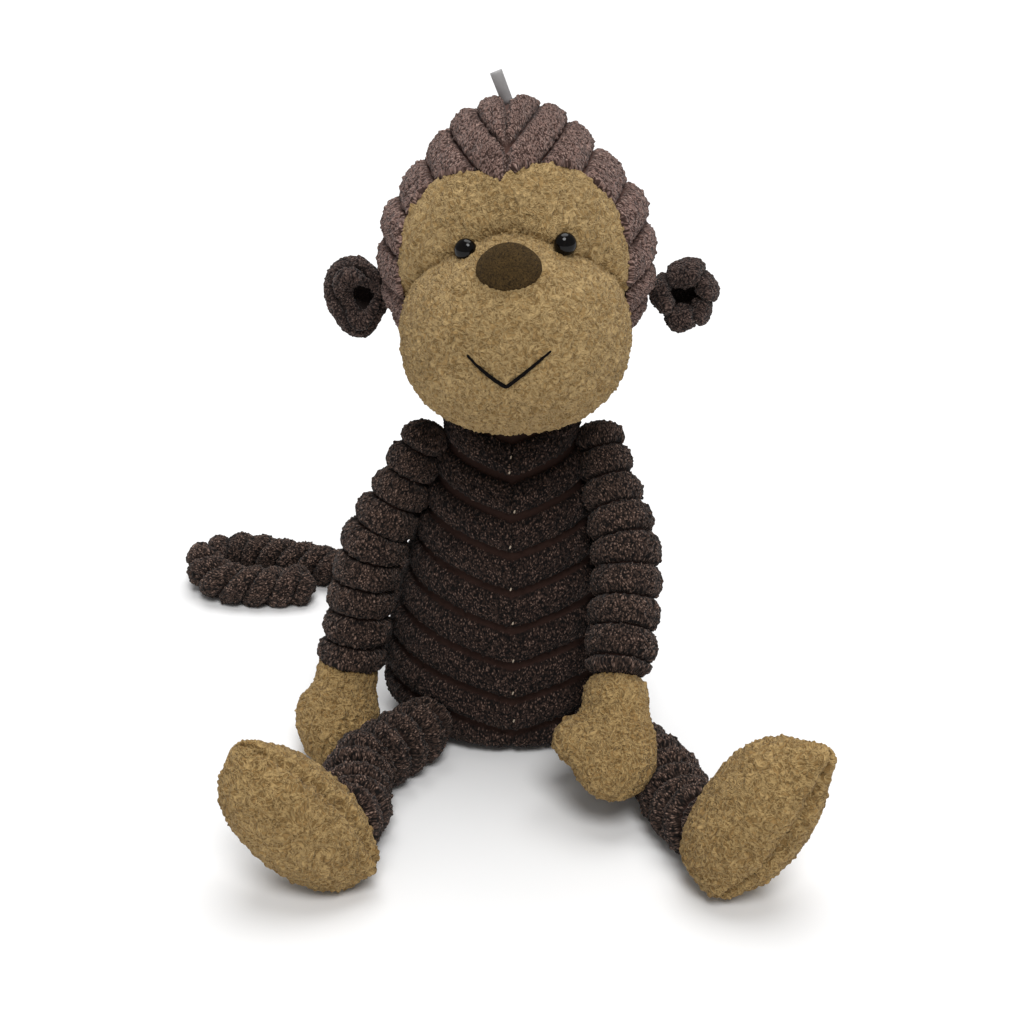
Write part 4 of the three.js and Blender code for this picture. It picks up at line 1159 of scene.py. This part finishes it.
def add_arm(side, sense):
    half_wide, _, middle = torso_at(SHOULDER_HEIGHT)
    shoulder = vec(sense * (half_wide + ARM_ROOT + GAP), middle - 5.0, SHOULDER_HEIGHT)
    size = widening(ARM_ROOT, ARM_THICKNESS, ARM_TAPER)
    target, long, facing = WRIST_PLACES[side]

    def beside_torso(place):
        return clear_of_torso(place, size(ARM_ROOT + np.linalg.norm(place - shoulder)) + 2 * GAP)

    points, end, forward = limb_line(shoulder, target, ARM_LENGTH, vec(sense, 0, 0), ARM_ROOT, beside_torso)
    arm = make_limb(f"arm_plush_{side}", [*points, end + forward * CUFF[side]], ARM_THICKNESS, ARM_ROOT + 1.2,
                    ARM_TAPER, pitch=12.2, puff=4.0, strip=0.08, offset=0.2, seed=31 + sense, end_cap=3.0)
    finished(arm, shaded_limb_plush, f"arm_{side}", [f"arm_{side}", f"arm_{side}_stuffing"])
    wrist = end + forward * (WRIST + GAP)
    turn = turned_to(long, facing)
    hand = make_hand(side, wrist, turn)
    finished(hand, paw_plush, None,
             [f"hand_{side}_palm", f"hand_{side}_back", f"hand_{side}_stuffing"])
    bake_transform(hand)


def add_leg(side, sense):
    height = LEG_THICKNESS / 2 + REST_GAP
    half_wide, half_deep, middle = torso_at(height)
    spread = half_wide * HIP_SPREAD
    surface = vec(sense * spread, -half_deep * math.sqrt(1 - (spread / half_wide) ** 2), 0)
    outward = unit(vec(surface[0] / half_wide ** 2, surface[1] / half_deep ** 2, 0))
    hip = surface + outward * (LEG_ROOT + GAP) + vec(0, middle, height)
    target, foot_offset, long, facing = ANKLE_PLACES[side]
    points, end, forward = limb_line(hip, target, LEG_LENGTH, vec(sense, 0, 0), LEG_ROOT)
    ankle = end + forward * (ANKLE + GAP)
    to_foot = unit(foot_offset)
    inside_foot = ankle + to_foot * LEG_HIDDEN
    leg = make_limb(f"leg_plush_{side}", [*points, inside_foot], LEG_THICKNESS - LEG_SLIMMING, LEG_ROOT + 1.0,
                    LEG_THICKNESS, pitch=9.5, puff=4.2, strip=0.16, offset=0.1, seed=37 + sense, settle=1.2)
    finished(leg, shaded_limb_plush, f"leg_{side}", [f"leg_{side}", f"leg_{side}_stuffing"])
    turn = turned_to(long, facing)
    foot = make_foot(side, ankle, foot_offset @ turn, turn)
    finished(foot, paw_plush, None,
             [f"foot_{side}_sole", f"foot_{side}_top", f"foot_{side}_stuffing"])
    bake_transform(foot)


# The tail's way over the floor, then how far each place lies above it.
TAIL_ROUTE = (
    (-20, 76, 0), (-46, 96, 0), (-78, 107, 0), (-108, 118, 0), (-134, 122, 2), (-148, 111, 3),
    (-139, 96, 1), (-119, 91, 0), (-95, 93, 0),
)


def add_tail():
    height = TAIL_THICKNESS / 2 + REST_GAP
    _, half_deep, middle = torso_at(height)
    root = vec(-6, middle + half_deep + TAIL_ROOT + GAP, height)
    points = [root + vec(1, -TAIL_ROOT, 0), root] + [vec(x, y, height + lift) for x, y, lift in TAIL_ROUTE]
    tail = make_limb("tail_plush", points, TAIL_THICKNESS, TAIL_ROOT + 0.8, TAIL_THICKNESS,
                     pitch=10.5, puff=3.6, strip=0.06, twist=2.0, tuft=1.4, seed=41)
    finished(tail, shaded_limb_plush, "tail", ["tail", "tail_stuffing"])


for side, sense in (("left", -1), ("right", 1)):
    add_arm(side, sense)
for side, sense in (("left", -1), ("right", 1)):
    add_leg(side, sense)
add_tail()

# ---------------------------------------------------------------- studio
FLOOR = 12.0                     # half its width, in metres
floor_mesh = bpy.data.meshes.new("floor")
floor_mesh.from_pydata(
    [(-FLOOR, -FLOOR, 0), (FLOOR, -FLOOR, 0), (FLOOR, FLOOR, 0), (-FLOOR, FLOOR, 0)], [], [(0, 1, 2, 3)])
floor = bpy.data.objects.new("floor", floor_mesh)
bpy.context.scene.collection.objects.link(floor)
pale_floor = speckled("pale floor", (0.90, 0.90, 0.90, 1), (0.88, 0.88, 0.88, 1), 3.0, 0.9, 0.0, 0.1)
floor.data.materials.append(pale_floor)

world = bpy.data.worlds.new("studio")
bpy.context.scene.world = world
world.use_nodes = True
world.node_tree.nodes["Background"].inputs["Color"].default_value = (1.0, 1.0, 1.0, 1.0)
world.node_tree.nodes["Background"].inputs["Strength"].default_value = 0.30


def sun(name, strength, spread, heading, height):
    light = bpy.data.lights.new(name, "SUN")
    light.energy = strength
    light.angle = math.radians(spread)
    lamp = bpy.data.objects.new(name, light)
    bpy.context.scene.collection.objects.link(lamp)
    a, e = math.radians(heading), math.radians(height)
    towards = Vector((math.sin(a) * math.cos(e), -math.cos(a) * math.cos(e), math.sin(e)))
    lamp.rotation_euler = (-towards).to_track_quat("-Z", "Y").to_euler()


sun("top light", 1.85, 45, 165, 74)
sun("front light", 1.65, 24, 10, 58)
bpy.context.scene.view_settings.view_transform = "Standard"
bpy.context.scene.view_settings.look = "None"
